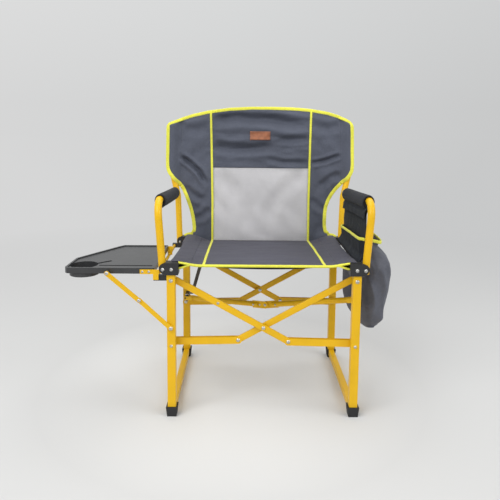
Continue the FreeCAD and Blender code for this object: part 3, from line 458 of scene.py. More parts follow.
# the back cover's outer edge on each side, as (z, x) from the flare at the seat up to the corner
EDGES = {
    -1: [
        (440, 252), (461, 250), (476, 248), (490, 248), (509, 250),
        (532, 254), (560, 261), (584, 269), (608, 278), (636, 292.5), (656, 307), (676, 325), (690, 336),
        (702, 342), (716, 344.5), (740, 345), (880, 345)],
    1: [
        (440, 252), (462, 250), (480, 244.5), (500, 241), (520, 240.5),
        (545, 242), (572, 246.5), (596, 256), (616, 267), (640, 285), (658, 302), (676, 320), (690, 331),
        (704, 337.5), (722, 339), (880, 339)]}
CORNER_X = {-1: 345.0, 1: 339.0}        # the cover's upper corners
PIPING = [(440, 178), (583, 178.5), (791, 184), (915, 188)]     # the back's pipings, as (z, x)
TOP_END_X = 345     # where the cover's top edge ends
UPRIGHT = [(435, 297.1), (606, 306), (660, 319), (690, 326.5), (866, 326)]      # as (z, x)
MESH_TOP = 710.0        # where the mesh panel meets the head panel
# the cover's top edge, as (x, z)
CROWN = [
    (-352, 864), (-340, 873), (-303, 887), (-256, 903), (-196, 917), (-117, 928), (-40, 932.5), (40, 933),
    (108, 932), (140, 930.5), (190, 926), (249, 916.5), (286, 905), (315, 893.5), (336, 880), (345, 872)]


def top_z(x):
    """The height of the cover's top edge."""
    return lookup(CROWN, x)


def edge_x(sign, z):
    """The cover's outer edge, by distance from the middle."""
    return lookup(EDGES[sign], z)


def piping_x(z):
    """The back's pipings, by distance from the middle."""
    return lookup(PIPING, z)


def upright_x(z):
    """The uprights' axis, by distance from the middle."""
    return lookup(UPRIGHT, z)


def upright_y(z):
    """The uprights' axis, which leans back."""
    return REAR_Y + (z - COVER_Z) * LEAN


def rail_z(y):
    """The seat rails' axis, which falls towards the back."""
    return RAIL_Z - RAIL_FALL * y / REAR_Y


def cover_y(x, z):
    """The cover's depth, over its whole surface."""
    tuck = 15 * math.exp(-(z - COVER_Z) / 60)
    hollow = 7 * (1 - min(abs(x) / SEAM_X, 1.0) ** 2) * smooth((z - COVER_Z) / 140)
    pull = 9 * smooth((abs(x) - 190) / 60) * math.exp(-max(z - 462, 0) / 26)
    return upright_y(z) + tuck + hollow - pull


def seam_point(x):
    """The line where the seat's rear edge meets the back cover."""
    reach = smooth((abs(x) - 176) / 76)
    z = COVER_Z + 23 * reach ** 1.15
    return Vector((x, cover_y(x, z), z))


FOLD_GAIN = 1.5     # on every fold's depth
# folds that show in the back cover, as (points in x and z, depth, half width)
FOLDS = [
    ([(-300, 752), (-262, 724), (-228, 694), (-204, 652)], 9.5, 9),
    ([(-290, 640), (-250, 610), (-215, 588)], 4.5, 12),
    ([(-184, 792), (-120, 780), (-40, 779), (50, 792)], 9.5, 17),
    ([(-176, 886), (-90, 896), (20, 890), (176, 868)], 12.0, 19),
    ([(60, 812), (130, 816), (186, 822)], 5.0, 12),
    ([(20, 742), (90, 730), (186, 728)], 5.0, 10),
    ([(188, 727), (240, 738), (300, 760)], 6.5, 8),
    ([(190, 870), (250, 858), (300, 868)], 4.0, 16),
    ([(300, 690), (262, 676), (222, 640)], 5.0, 12),
    ([(-188, 860), (-240, 846), (-300, 852)], 3.5, 18),
    ([(184, 600), (215, 570), (240, 556)], 4.0, 12),
    ([(-182, 560), (-215, 530), (-246, 520)], 4.5, 12),
    ([(-172, 690), (-110, 640), (-60, 560), (-30, 480)], 2.6, 26),
    ([(172, 690), (120, 660), (60, 600), (20, 520)], 2.2, 24)]


def fold_depth(x, z):
    """How far the stated folds press the cover back here: each is a valley with raised shoulders."""
    total = 0.0
    for points, depth, half in FOLDS:
        best, along = 1e9, 0.0
        for i, ((x0, z0), (x1, z1)) in enumerate(zip(points, points[1:])):
            length = (x1 - x0) ** 2 + (z1 - z0) ** 2
            u = min(max(((x - x0) * (x1 - x0) + (z - z0) * (z1 - z0)) / length, 0.0), 1.0)
            away = math.hypot(x - mix(x0, x1, u), z - mix(z0, z1, u))
            if away < best:
                best, along = away, (i + u) / (len(points) - 1)
        if best < 3 * half:
            taper = smooth(min(along, 1 - along) / 0.25 + 0.25)
            valley = math.exp(-(best / half) ** 2)
            shoulder = 0.45 * math.exp(-((best - 1.7 * half) / (0.8 * half)) ** 2)
            total += FOLD_GAIN * depth * taper * (valley - shoulder)
    return total


def cover_wrinkle(x, z):
    """Soft folds: broad ones across the head, slanting ones in the wings, faint ones in the mesh."""
    head = smooth((z - MESH_TOP) / 40)
    wing = smooth((abs(x) - 185) / 30)
    side = -1 if x < 0 else 1
    across = rough(x * 0.45, 0, z * 1.5, 62, 3.1) * 6.5 + rough(x * 0.6, 0, z * 1.7, 26, 7.7) * 2.6
    slant = rough(x * 0.75 + side * z * 0.75, 0, z * 0.5, 55, 1.3) * 6.0 + rough(x, 0, z * 0.8, 24, 5.0) * 2.4
    faint = rough(x * 0.8 + z * 0.8, 0, z * 0.35 - x * 0.2, 60, 9.2) * 3.4
    near_edge = smooth((top_z(x) - z) / 26)
    value = mix(mix(faint, across, head), slant, wing) + fold_depth(x, z)
    near_piping = 0.35 + 0.65 * smooth(abs(abs(x) - piping_x(z)) / 16)
    return value * near_edge * near_piping * smooth((z - seam_point(x).z - 2) / 25)


def cover_point(x, z, lift):
    """A place on the cover, lifted towards the sitter by so many millimetres."""
    return at(x, cover_y(x, z) + cover_wrinkle(x, z) - lift, z)


def seat_z(x, y):
    """The seat's height: held up by the rails, hollow between them, lower towards the back."""
    middle = 461 - 21 * min(max(y, 0) / 435, 1.0) ** 1.4
    rise = smooth((abs(x) - 190) / 72)
    folds = 1.6 * rough(x * 0.5, y * 1.6, 0, 58, 2.2) + 0.7 * rough(x, y, 0, 24, 4.0)
    return mix(middle, rail_z(y) + TUBE_ROOM, rise) + folds * (1 - rise) * smooth(y / 30)


# ---------------------------------------------------------------- soft pieces

def hang(piece, body):
    """Hangs a piece on the body that it rides on."""
    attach(piece, body)


def crumple(piece):
    """Hangs a piece on the left side frame, with a mesh of its own."""
    hang(piece, "left_side")
    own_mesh(piece)


def make_cover_panel(name, low, high, left, right, steps, material, lift=0.0):
    """A panel of the back cover; low and high are heights by x, left and right places by height."""
    def place(t, u):
        z = mix(450, 900, t)    # a first guess
        for _ in range(5):      # x and z depend on each other, and settle within five rounds
            x = mix(left(z), right(z), u)
            z = mix(low(x), high(x), t)
        return cover_point(x, z, lift)

    return patch(name, steps, place, material)


def build_back():
    """The two wings, the head panel and the mesh panel, which lies a little behind the head."""
    wings = []
    for side, sign in SIDES:
        wings.append(make_cover_panel(
            f"back_wing_{side}", lambda x: seam_point(x).z - 3, top_z,
            lambda z, s=sign: s * piping_x(z), lambda z, s=sign: s * min(edge_x(s, z), SEAM_X + 1),
            (150, 44), back_fabric))
    head = make_cover_panel(
        "back_head_panel", lambda x: MESH_TOP, top_z,
        lambda z: -piping_x(z), piping_x, (84, 110), back_fabric)
    mesh = make_cover_panel(
        "back_mesh_panel", lambda x: seam_point(x).z, lambda x: MESH_TOP + 2,
        lambda z: -piping_x(z), piping_x, (80, 90), grey_mesh, -1.7)
    return wings, head, mesh


def edge_z(sign, x):
    """The height of the cover's lower edge on the sleeve, by distance from the middle."""
    rising = [(px, pz) for pz, px in EDGES[sign] if 600 < pz < 730]
    return lookup(rising, x)


def build_sleeves():
    """The two pockets of the back cover that slide over the uprights."""
    made = {}
    steps, half = 80, 30
    for side, sign in SIDES:
        outer = CORNER_X[sign] + SLEEVE_EASE
        rows = []
        for i in range(steps + 1):
            row = []
            for facing in (1, -1):
                for j in range(half):
                    u = j / half if facing == 1 else 1 - j / half
                    x = mix(SEAM_X - 2, outer, math.sin(u * math.pi / 2) ** 1.1)
                    z = mix(edge_z(sign, x), top_z(sign * x) - 1, (i / steps) ** 0.8)
                    row.append(sleeve_point(sign, x, z, facing))
            rows.append(row)
        made[side] = thicken(grid(f"back_sleeve_{side}", rows, back_fabric, closed=True), 1.2)
    return made


def sleeve_point(sign, x, z, facing, lift=0.0):
    """A place on the sleeve's front (facing 1) or back (-1), by distance from the middle."""
    seam = smooth((x - SEAM_X + 2) / 16)
    y_mid = mix(cover_y(x, z) + cover_wrinkle(sign * x, z), upright_y(z), seam)
    fold = 1.5 * rough(x, 0, z, 45, 6.0 + facing) * seam * smooth((CORNER_X[sign] - x) / 14)
    return at(sign * x, y_mid - facing * (upright_offset(sign, x, z) + 0.5 + lift) + fold, z)


def upright_offset(sign, x, z):
    """Half the sleeve's depth round the upright at a place across it; it closes at the top seam."""
    axis_x, outer = upright_x(z), CORNER_X[sign] + SLEEVE_EASE
    closing = max(z - top_z(sign * x) + 13, 0.0) / 13
    full = TUBE_ROOM * (1 - min(closing, 1.0) ** 1.6)
    if x >= axis_x:
        return full * math.sqrt(max(1 - min((x - axis_x) / (outer - axis_x), 1.0) ** 2.4, 0.0))
    return full * smooth(1 - (axis_x - x) / (axis_x - SEAM_X + 2))


def edge_path(sign):
    """The lime edge from the seat's rear corner up to the sleeve, and on round the sleeve."""
    foot = [
        (281, 424, 452), (277, 428, 459.5), (268, 431, 463.5), (258, 432, 465), (251.5, 431, 467),
        (249, 430, 473)]
    inner = [at(*p) for p in smooth_path([(sign * x, y, z) for x, y, z in foot], 6)]
    outer = []
    corner_x, corner_z = CORNER_X[sign], top_z(sign * TOP_END_X) - 12
    z = 480.0
    while z < corner_z:
        x = edge_x(sign, z)
        if x <= SEAM_X + 3:
            inner.append(cover_point(sign * (x - 3), z, 1.6))
        if x >= SEAM_X - 1:
            outer.append(sleeve_point(sign, x - 3 * (1 - smooth((x - 300) / 20)), z, 1, 1.4))
        z += 4 if x < 336 else 6
    radius, steps = 8, 8
    for k in range(1, steps):
        turn = math.pi / 2 * k / steps
        x = corner_x - radius + radius * math.cos(turn)
        z = mix(corner_z + radius * math.sin(turn), top_z(sign * x) - 2.5, smooth(k / steps))
        outer.append(sleeve_point(sign, x, z, 1, 1.4))
    x = corner_x - 12
    while x > SEAM_X - 8:
        outer.append(sleeve_point(sign, max(x, SEAM_X - 2), top_z(sign * x) - 2.5, 1, 1.8)
                     + Vector((sign * min(x - SEAM_X + 2, 0) / 1000, 0, 0)))
        x -= 4
    return inner, outer


def build_tapes():
    """Lime binding round the back cover, over the pipings and along the seat's front."""
    pieces = {"back": [], "seat": [], "left": [], "right": []}

    def tape(group, name, path, out, width, thick):
        pieces[group].append(sweep(name, path, out, width, thick, lime_tape))

    for side, sign in SIDES:
        inner, outer = edge_path(sign)
        tape("back", f"edge_tape_{side}", inner, TO_SITTER, 13.0, 4.0)
        crest = at(0, 0, top_z(sign * TOP_END_X) - 8).z
        facing = [Vector((0, -1, 0.2 + 0.6 * smooth((p.z - crest) / 0.012))) for p in outer]
        tape(side, f"sleeve_tape_{side}", outer, facing, 13.5, 4.6)
        xs = [SEAM_X + 4 * k for k in range(math.ceil((CORNER_X[sign] - 1 - SEAM_X) / 4))]
        behind = [sleeve_point(sign, x, edge_z(sign, x), -1, 1.0) for x in xs]
        tape(side, f"sleeve_rear_tape_{side}", behind, TO_SITTER, 12.0, 4.0)
    path = [at(x, cover_y(x, top_z(x)), top_z(x) - 2) for x in spread(-SEAM_X, SEAM_X, 100)]
    tape("back", "top_tape", path, TO_SITTER, 12.5, 5.5)
    for side, sign in SIDES:
        path = [cover_point(sign * piping_x(z), z, 1.8) for z in spread(441, top_z(sign * 188) - 4, 110)]
        tape("back", f"back_piping_{side}", path, TO_SITTER, 8.2, 4.0)
        path = [at(sign * SEAT_PIPING_X, y, seat_z(178, y) + 1.4) for y in spread(0, 433, 70)]
        tape("seat", f"seat_piping_{side}", path, UP, 8.2, 4.0)
        xs = spread(212, 252, 12)
        over = [at(sign * x, 0.0, seat_z(x, 0)) for x in xs]
        under = [
            at(sign * x, 0.0, mix(seat_z(212, 0), RAIL_Z - 5.0, smooth(k / 12) ** 1.1))
            for k, x in enumerate(xs)]
        tape(side, f"seat_end_tape_top_{side}", over, BRIM, 8.0, 5.0)
        tape(side, f"seat_end_tape_under_{side}", under, BRIM, 8.0, 5.0)
    path = [at(x, 0.0, seat_z(x, 0) - 0.5) for x in spread(-214, 214, 90)]
    tape("seat", "seat_front_tape", path, BRIM, 9.0, 6.4)
    return pieces


def build_seat():
    """The sheet between the rail sleeves, and the lining hem that hangs below its front edge."""
    def sheet(t, u):
        x = mix(-SLEEVE_X, SLEEVE_X, u)
        back = seam_point(x)
        y = back.y * t
        return at(x, y, mix(seat_z(x, y), back.z, smooth((t - 0.86) / 0.14)))

    def hem(t, u):
        x, y = mix(-150, 150, u), mix(4, 60, t)
        sag = 7.5 * (1 - (x / 150) ** 2) ** 0.5 + 1.2
        return at(x, y, seat_z(x, y) - sag * (1 - smooth((t - 0.25) / 0.75)) - 1.6)

    return (patch("seat_sheet", (90, 120), sheet, shaded_seat_fabric),
            patch("seat_under_hem", (8, 60), hem, dark_lining, 1.2))


def build_rail_sleeve(side, sign):
    """The seat's sleeve over a rail: over the top, round the outside and back underneath."""
    loop = [("top", mix(SLEEVE_X, RAIL_X, k / 14)) for k in range(14)]
    loop += [("round", 90 - 180 * k / 24) for k in range(24)]
    loop += [("under", mix(RAIL_X, SLEEVE_X, k / 14)) for k in range(15)]
    steps = 70
    rows = []
    for i in range(steps + 1):
        t = i / steps
        row = []
        for kind, value in loop:
            if kind == "round":
                turn = math.radians(value)
                loose = 12.8 + 5.5 * (1 - smooth((mix(17, 404, t) - 17) / 260))
                x, dz = RAIL_X + loose * math.cos(turn), TUBE_ROOM * math.sin(turn)
            else:
                x = value
            behind = 17.2 * smooth((x - 247.5) / 2.5)       # clear of the front bracket
            last = mix(seam_point(min(x, 248)).y, 404.0, smooth((x - 244) / 6))
            y = mix(behind, last, t)
            if kind == "top":
                inside = 1 - smooth((x - 246) / 6)
                z = mix(seat_z(x, y), seam_point(x).z, smooth((t - 0.86) / 0.14) * inside)
            elif kind == "round":
                z = rail_z(y) + dz
            else:
                inwards = smooth((RAIL_X - x) / (RAIL_X - SLEEVE_X))
                z = mix(rail_z(y) - TUBE_ROOM, seat_z(SLEEVE_X, y) - 1.6, inwards)
            z += 0.5 * rough(x, y, z, 30, 3.0) * smooth(y / 60)
            row.append(at(sign * x, y, z))
        rows.append(row)
    return thicken(grid(f"seat_sleeve_{side}", rows, shaded_seat_fabric), 1.2)


# the seat's corner flaps: which, the depths they start and end at, their outer x, their height
CORNERS = (("front", 90, 1, 279.5, 473.4), ("rear", 300, 431, 276.5, 463.2))


def build_corner(side, sign, tag, start, end, width, top):
    """A flap of the seat that rises over a bracket."""
    def place(t, u):
        x, y = mix(SLEEVE_X + 1, width, u), mix(start, end, t)
        over = smooth((x - 222) / 26) * smooth(t / 0.75)
        z = mix(seat_z(min(x, RAIL_X), y) + 0.5, top, over) - 9 * smooth((x - 266) / 14) ** 2
        z -= 1.8 * (1 - smooth(t / 0.15)) + 1.8 * (1 - smooth((x - SLEEVE_X - 1) / 9))
        return at(sign * x, y, z)

    return patch(f"seat_corner_{tag}_{side}", (24, 20), place, shaded_seat_fabric, 1.2)


def build_stitching():
    """Rows of stitches beside the tapes and along the seams."""
    back, seat = [], []

    def on_back(name, places):
        back.append(stitches(name, [cover_point(x, z, 1.1) for x, z in places], FRONT))

    for side, sign in SIDES:
        zs = spread(452, top_z(sign * 190) - 8, 90)
        for tag, gap in (("in", -6.5), ("out", 6.5)):
            on_back(f"piping_stitches_{side}_{tag}", [(sign * (piping_x(z) + gap), z) for z in zs])
        on_back(f"edge_stitches_{side}", [(sign * (edge_x(sign, z) - 12), z) for z in spread(486, 640, 60)])
        zs = spread(664, top_z(sign * 296) - 8, 60)
        on_back(f"sleeve_seam_stitches_{side}", [(sign * (SEAM_X - 4), z) for z in zs])
        xs = spread(piping_x(720) + 5, 294, 30)
        on_back(f"wing_seam_stitches_{side}", [(sign * x, 720) for x in xs])
        ys = spread(10, 425, 60)
        for tag, gap in (("in", -6.5), ("out", 6.5)):
            path = [at(sign * (SEAT_PIPING_X + gap), y, seat_z(178 + gap, y) + 1.0) for y in ys]
            seat.append(stitches(f"seat_stitches_{side}_{tag}", path, UP))
        path = [at(sign * 214, y, seat_z(214, y) + 1.1) for y in ys]
        seat.append(stitches(f"seat_sleeve_stitches_{side}", path, UP))
    for tag, rise in (("a", 5), ("b", 10)):
        on_back(f"head_stitches_{tag}", [(x, MESH_TOP + rise) for x in spread(-174, 174, 60)])
    on_back("top_stitches", [(x, top_z(x) - 12) for x in spread(-285, 285, 90)])
    path = [at(x, 9, seat_z(x, 9) + 1.1) for x in spread(-205, 205, 60)]
    seat.append(stitches("seat_front_stitches", path, UP))
    return back, seat


def build_label():
    """A blank leather tab on the head panel, with a stitched border."""
    tab = patch(
        "blank_label", (8, 16), lambda t, u: cover_point(mix(-41, 35, u), mix(813, 845, t), 2.2), tab_leather)
    corners = [(-38, 816), (32, 816), (32, 842), (-38, 842), (-38, 816)]
    path = []
    for (x0, z0), (x1, z1) in zip(corners, corners[1:]):
        path += [cover_point(mix(x0, x1, k / 10), mix(z0, z1, k / 10), 3.1) for k in range(10)]
    path.append(path[0])
    return tab, stitches("label_stitches", path, FRONT, 3.6, 2.2, 0.6)


wings, head_panel, mesh_panel = build_back()
for piece in wings + [head_panel]:
    crumple(piece)
crumple(mesh_panel)
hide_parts("back_cover")
back_sleeves = build_sleeves()
for side, piece in back_sleeves.items():
    hang(piece, f"{side}_side")
seat_sheet, seat_hem = build_seat()
crumple(seat_sheet)
crumple(seat_hem)
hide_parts("seat_cover")
for side, sign in SIDES:
    for piece in [build_rail_sleeve(side, sign)] + [build_corner(side, sign, *corner) for corner in CORNERS]:
        hang(piece, f"{side}_side")
tapes = build_tapes()
for piece in tapes["back"]:
    crumple(piece)
for piece in tapes["seat"]:
    crumple(piece)
for side, _ in SIDES:
    for piece in tapes[side]:
        hang(piece, f"{side}_side")
back_stitches, seat_stitches = build_stitching()
for piece in back_stitches:
    crumple(piece)
for piece in seat_stitches:
    crumple(piece)
for piece in build_label():
    crumple(piece)


# ---------------------------------------------------------------- arm pads

def arm_axis(sign, y):
    """The arm tube's centre at a depth, in chair millimetres."""
    t = (y + 3) / 441
    return Vector((sign * mix(311, 310.4, t), y, mix(652, 626, t)))


def build_pads():
    """For each arm, a sewn sleeve, the foam in it and the stitches below."""
    made = {}
    steps, around = 64, 40
    bore = 11.6
    for side, sign in SIDES:
        offset = Vector((-sign * 2.0, 0, -4.0))     # the pad hangs a little below and inside the tube
        rows = []
        for i in range(steps + 1):
            t = i / steps
            y = mix(40, 382, t)
            centre = arm_axis(sign, y) + offset
            tuck = 1 - 0.10 * (1 - smooth(min(t, 1 - t) / 0.03))
            row = []
            for turn in turns(around):
                a, b = math.cos(turn), math.sin(turn)
                swell = 1 + 0.03 * rough(a * 40, y, b * 40, 60, 2.0)
                swell += 0.02 * rough(a * 30, y * 2, b * 30, 22, 4.0)
                hem = 2.5 * max(0.0, -b - 0.82) / 0.18
                row.append(at(
                    centre.x + 17.6 * a * swell * tuck, y, centre.z + (20.6 * b * swell - hem) * tuck))
            rows.append(row)
        sleeve = thicken(grid(f"arm_pad_sleeve_{side}", rows, pad_cloth, closed=True), 1.5, -1.0 * sign)
        rows = []
        for y, radius in ((43, 17), (44, 18.2), (378, 18.2), (379, 17), (379, bore), (43, bore), (43, 17)):
            share = smooth((radius - bore) / 5)
            centre = arm_axis(sign, y) + offset * share
            wide, high = radius - 1.8 * share, radius * (1 + 0.13 * share)
            rows.append([
                at(centre.x + wide * math.cos(turn), y, centre.z + high * math.sin(turn))
                for turn in turns(around)])
        foam = grid(f"arm_pad_foam_{side}", rows, dark_lining, closed=True)
        centres = [arm_axis(sign, y) + offset for y in spread(46, 376, 50)]
        path = [at(centre.x, centre.y, centre.z - 21.6) for centre in centres]
        made[side] = (sleeve, foam, stitches(f"arm_pad_stitches_{side}", path, -UP))
    return made


for side, (sleeve, foam, seam) in build_pads().items():
    for piece in (sleeve, foam, seam):
        hang(piece, f"{side}_side")
    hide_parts(f"{side}_arm_pad")


# ---------------------------------------------------------------- organiser and bag

def panel_top(y):
    """The height of the organiser's upper edge, under the arm pad."""
    return mix(632, 612, (y - 40) / 330) - 1.0


def pocket_top(y):
    """The height of the organiser pocket's mouth."""
    return mix(535, 518, (y - 30) / 260)


def tuck_in(z):
    """How far the organiser's lower edge is drawn in towards the seat."""
    return 17 * smooth((494 - z) / 38)


def build_organiser():
    """The panel under the right arm: a flap below the pad and an open pocket on the seat side."""
    def panel(t, u):
        y = mix(26, 372, u)
        z = mix(453, panel_top(y), t)
        x = 300 + 2.2 * rough(0, y * 0.6, z * 1.4, 60, 5.0) + 0.8 * rough(0, y, z, 22, 1.0)
        x = mix(x, arm_axis(1, y).x - 6, smooth((t - 0.86) / 0.14))
        return at(x - tuck_in(z), y, z)

    def flap(t, u):
        y = mix(25, 374, u)
        low = panel_top(y) - 34 + 2.0 * rough(0, y, 0, 70, 2.0)
        z = mix(low, panel_top(y) - 1, t)
        x = 296.3 - 2.4 * (1 - t) + 1.2 * rough(0, y, z, 40, 8.0)
        return at(mix(x, arm_axis(1, y).x - 9, smooth((t - 0.6) / 0.4)), y, z)

    def pocket(t, u):
        y = mix(27, 370, u)
        z = mix(454, pocket_top(y), t)
        edge = smooth(min(y - 27, 370 - y) / 22) * smooth(t / 0.25)
        puff = 6 + 6.5 * t + 3.2 * rough(0, y, z, 55, 4.0)
        return at(297.6 - puff * edge - tuck_in(z), y, z)

    sheets = [
        patch("organiser_sheet", (50, 60), panel, shaded_organiser_fabric),
        patch("organiser_flap", (24, 60), flap, shaded_organiser_fabric, 1.8),
        patch("organiser_pocket", (30, 60), pocket, shaded_organiser_fabric, 1.8)]
    path = [pocket(1.0, j / 60) + UP / 1000 for j in range(61)]
    return sheets, sweep("organiser_pocket_tape", path, Vector((-1, 0, 0)), 9.5, 4.0, lime_tape)


BAG_Y, BAG_HALF = 176, 145      # the bag's middle and half its length, front to back
# the bag's section seen from the front, as (inner x, outer x, z) from the bottom up
BAG = [
    (320, 352, 233), (315, 359, 238), (311, 364, 254), (308, 372, 285), (306, 381, 320), (305, 391, 355),
    (305, 395, 390), (305, 397, 420), (305, 394, 445), (305, 383, 468), (305, 366, 490), (305, 352, 508),
    (305, 353, 524), (305, 361, 536)]


def bag_point(level, turn):
    """A place on the bag's wall: level from 0 at the bottom to 1 at the rim, turn round it."""
    place = level * (len(BAG) - 1)
    i = min(int(place), len(BAG) - 2)
    inner, outer, z = (mix(a, b, place - i) for a, b in zip(BAG[i], BAG[i + 1]))
    a, b = math.cos(turn), math.sin(turn)
    half_y = BAG_HALF * (1 - 0.22 * (1 - smooth(level / 0.2))) * (1 - 0.05 * level)
    x = (inner + outer) / 2 + (outer - inner) / 2 * math.copysign(abs(a) ** 0.72, a)
    y = BAG_Y + half_y * math.copysign(abs(b) ** 0.5, b)
    along = (y - BAG_Y) / BAG_HALF
    z += (1 - level) * (16 * along ** 2 - 10 * along)
    # it bulges inwards, between the legs
    x -= 27 * smooth((y - 90) / 150) * smooth(-a / 0.5) * smooth(level / 0.3) * smooth((0.66 - level) / 0.12)
    below_rim = smooth((1.02 - level) / 0.12)
    if b < -0.3:        # folds in its front end
        front = smooth((-0.3 - b) / 0.4) * smooth(level / 0.08) * below_rim
        ridge = 0.5 - min(abs(rough(x * 1.3 + z * 0.3, 0, z * 0.5, 58, 6.1)) * 2.6, 1.0)
        y -= (17 * ridge + 8 * rough(x, 0, z * 1.4, 60, 2.2)) * front
    if a > -0.2:        # creases in its outer side
        creases = 5.0 * rough(x * 0.3, y * 1.1, z * 0.5, 60, 3.3)
        creases += 6.0 * (0.4 - min(abs(rough(0, y * 0.9 + z * 0.5, z * 0.6 - y * 0.3, 105, 8.4)) * 2.4, 1.0))
        creases += 2.0 * (0.4 - min(abs(rough(0, y * 0.8 - z * 0.6, z, 60, 2.7)) * 2.2, 1.0))
        x += creases * smooth((a + 0.2) / 0.6) * smooth(level / 0.1) * below_rim
    z -= 15 * smooth((a + 1) / 2) * smooth((level - 0.7) / 0.3)     # the mouth slopes down outwards
    return x, y, z


def build_bag():
    """The bag's lofted shell, the tape round its mouth and two rows of stitches."""
    around, levels, floor_rings = 96, 70, 6
    bottom = (338, BAG_Y, 231)
    rows = []
    for i in range(floor_rings):
        share = i / floor_rings
        shares = (share, share, share ** 2.5)
        rows.append([at(*map(mix, bottom, bag_point(0.0, turn), shares)) for turn in turns(around)])
    for i in range(levels + 1):
        rows.append([at(*bag_point(i / levels, turn)) for turn in turns(around)])
    shell = thicken(grid("side_bag_shell", rows, bag_cloth, closed=True), 1.6, -1.0)
    rim = sweep("side_bag_rim_tape", rows[-1] + rows[-1][:1], UP, 5.0, 10.0, lime_tape)
    seams = []
    for tag, level in (("upper", 0.52), ("lower", 0.10)):
        path = [at(*bag_point(level, turn)) for turn in spread(0, 2 * math.pi, around)]
        seams.append(stitches(f"side_bag_stitches_{tag}", path, Vector((1, 0, 0.01))))
    return shell, rim, seams


organiser_sheets, organiser_rim = build_organiser()
for piece in organiser_sheets:
    hang(piece, "right_side")
hang(organiser_rim, "right_side")
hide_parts("organiser_panel")
bag_shell, bag_rim, bag_seams = build_bag()
hang(bag_shell, "right_side")
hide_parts("side_bag")
hang(bag_rim, "right_side")
for piece in bag_seams:
    hang(piece, "right_side")


# ---------------------------------------------------------------- pull strap

def build_strap():
    """The webbing from under the seat's left side down to the brace."""
    points = [(-186, 120, 453), (-191, 140, 440), (-206, 200, 399), (-232, 300, 310), (-248, 352, 262)]
    path = [at(*p) for p in smooth_path(points, 8)]
    return sweep("pull_strap", path, Vector((0.2, -1, -0.5)), 12.0, 1.6, webbing)


crumple(build_strap())

for piece in wings:
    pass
for piece, width in zip(organiser_sheets, (0.18, 0.035, 0.075)):
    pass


# ---------------------------------------------------------------- floor, light and camera

FLOOR_FAR = 4.0     # metres; the floor's looks are given by the share of this distance
# the backdrop's brightness from the left to the right, along the horizon
WALL = [(0.05, (0.672, 0.674, 0.674)), (0.5, (0.632, 0.640, 0.641)), (0.95, (0.575, 0.581, 0.583))]


def wall_colour(tree, place):
    """The backdrop's colour for a direction or a far place on the floor, and that direction's height."""
    heading = node(tree, "ShaderNodeVectorMath", operation="NORMALIZE")
    tree.links.new(place, heading.inputs[0])
    split = tree.nodes.new("ShaderNodeSeparateXYZ")
    tree.links.new(heading.outputs[0], split.inputs[0])
    return ramp(tree, math_node(tree, "ADD", split.outputs[0], 0.5), WALL), split.outputs[2]


def build_floor():
    """A light grey floor, painted lighter under the chair against the shadow there, which fades with distance
    into a painted glow in the backdrop's colour.
    """
    mesh = bpy.data.meshes.new("floor")
    reach = 30.0
    corners = [(-reach, -reach, 0), (reach, -reach, 0), (reach, reach, 0), (-reach, reach, 0)]
    mesh.from_pydata(corners, [], [(0, 1, 2, 3)])
    floor = bpy.data.objects.new("floor", mesh)
    bpy.context.scene.collection.objects.link(floor)
    material, tree, shader, coords = new_material("studio_floor")
    length = node(tree, "ShaderNodeVectorMath", operation="LENGTH")
    tree.links.new(coords, length.inputs[0])
    reached = math_node(tree, "DIVIDE", length.outputs["Value"], FLOOR_FAR)
    distance = ramp(tree, reached, [(0.16, 0.0), (0.75, 1.0)])
    # painted light: the floor is lighter under the chair, to offset the shadow that the chair casts there
    floor_tones_and_light_pool = [(0.03, (0.85, 0.85, 0.835)), (0.16, (0.585, 0.585, 0.58))]
    ramp(tree, reached, floor_tones_and_light_pool, shader.inputs["Base Color"])
    settle(shader, Roughness=0.9)
    # painted light: far off, the floor glows in the backdrop's colour instead of being lit
    painted_glow = node(tree, "ShaderNodeEmission", Strength=1.0)
    tree.links.new(wall_colour(tree, coords)[0], painted_glow.inputs["Color"])
    blend = tree.nodes.new("ShaderNodeMixShader")
    tree.links.new(distance, blend.inputs["Fac"])
    tree.links.new(shader.outputs[0], blend.inputs[1])
    tree.links.new(painted_glow.outputs[0], blend.inputs[2])
    tree.links.new(blend.outputs[0], tree.nodes["Material Output"].inputs["Surface"])
    mesh.materials.append(material)


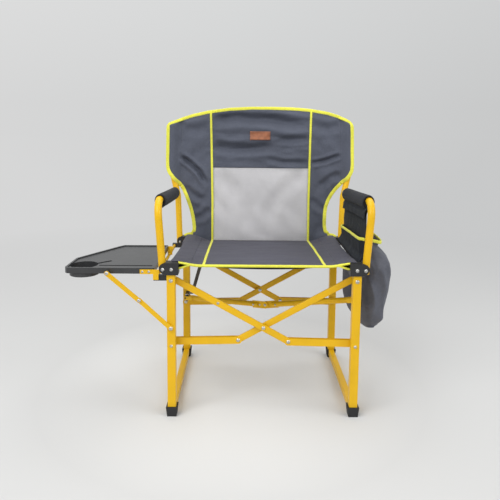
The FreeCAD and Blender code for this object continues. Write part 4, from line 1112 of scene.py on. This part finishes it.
def add_light(name, place, target, size, power):
    """A soft box aimed at a target; metres and watts."""
    light = bpy.data.lights.new(name, "AREA")
    light.shape = "RECTANGLE"
    light.size, light.size_y = size
    light.energy = power
    lamp = bpy.data.objects.new(name, light)
    lamp.location = place
    lamp.rotation_euler = (Vector(target) - Vector(place)).to_track_quat("-Z", "Y").to_euler()
    bpy.context.scene.collection.objects.link(lamp)


def build_world():
    """The backdrop, a little brighter higher up."""
    world = bpy.data.worlds.new("studio")
    world.use_nodes = True
    tree = world.node_tree
    background = tree.nodes["Background"]
    wall, height = wall_colour(tree, tree.nodes.new("ShaderNodeTexCoord").outputs["Generated"])
    tree.links.new(wall, background.inputs["Color"])
    ramp(tree, height, [(0.03, 1.0), (0.24, 1.09)], background.inputs["Strength"])
    bpy.context.scene.world = world


def build_camera():
    """The camera of the photograph: nearly level, a little left of the chair's middle."""
    camera_data = bpy.data.cameras.new("camera")
    camera_data.sensor_width = 36.0
    camera_data.lens = 38.87
    camera_data.shift_y = -0.12206
    camera_data.clip_end = 200.0
    camera = bpy.data.objects.new("camera", camera_data)
    pitch, yaw, roll = math.radians(7.0), -0.0104, 0.0096
    cp, sp, c, s = math.cos(pitch), math.sin(pitch), math.cos(yaw), math.sin(yaw)
    right = Vector((c, s, 0))
    forward = Vector((-s * cp, c * cp, -sp))
    up = Vector((-s * sp, c * sp, cp))
    cr, sr = math.cos(roll), math.sin(roll)
    right, up = right * cr + up * sr, up * cr - right * sr
    turn = Matrix((right, up, -forward)).transposed()
    camera.matrix_world = Matrix.Translation(at(-60.2, -1540.6, 877.2)) @ turn.to_4x4()
    bpy.context.scene.collection.objects.link(camera)
    bpy.context.scene.camera = camera


build_floor()
build_world()
add_light("key", (-1.6, -2.2, 2.9), (0, 0, 0.45), (2.2, 1.6), 60)
add_light("fill", (2.4, -1.4, 2.0), (0, 0, 0.5), (2.0, 2.0), 26)
add_light("top", (0.0, 0.4, 3.4), (0, 0, 0.3), (2.6, 2.6), 40)
build_camera()
bpy.context.scene.view_settings.view_transform = "Standard"
bpy.context.scene.view_settings.look = "None"
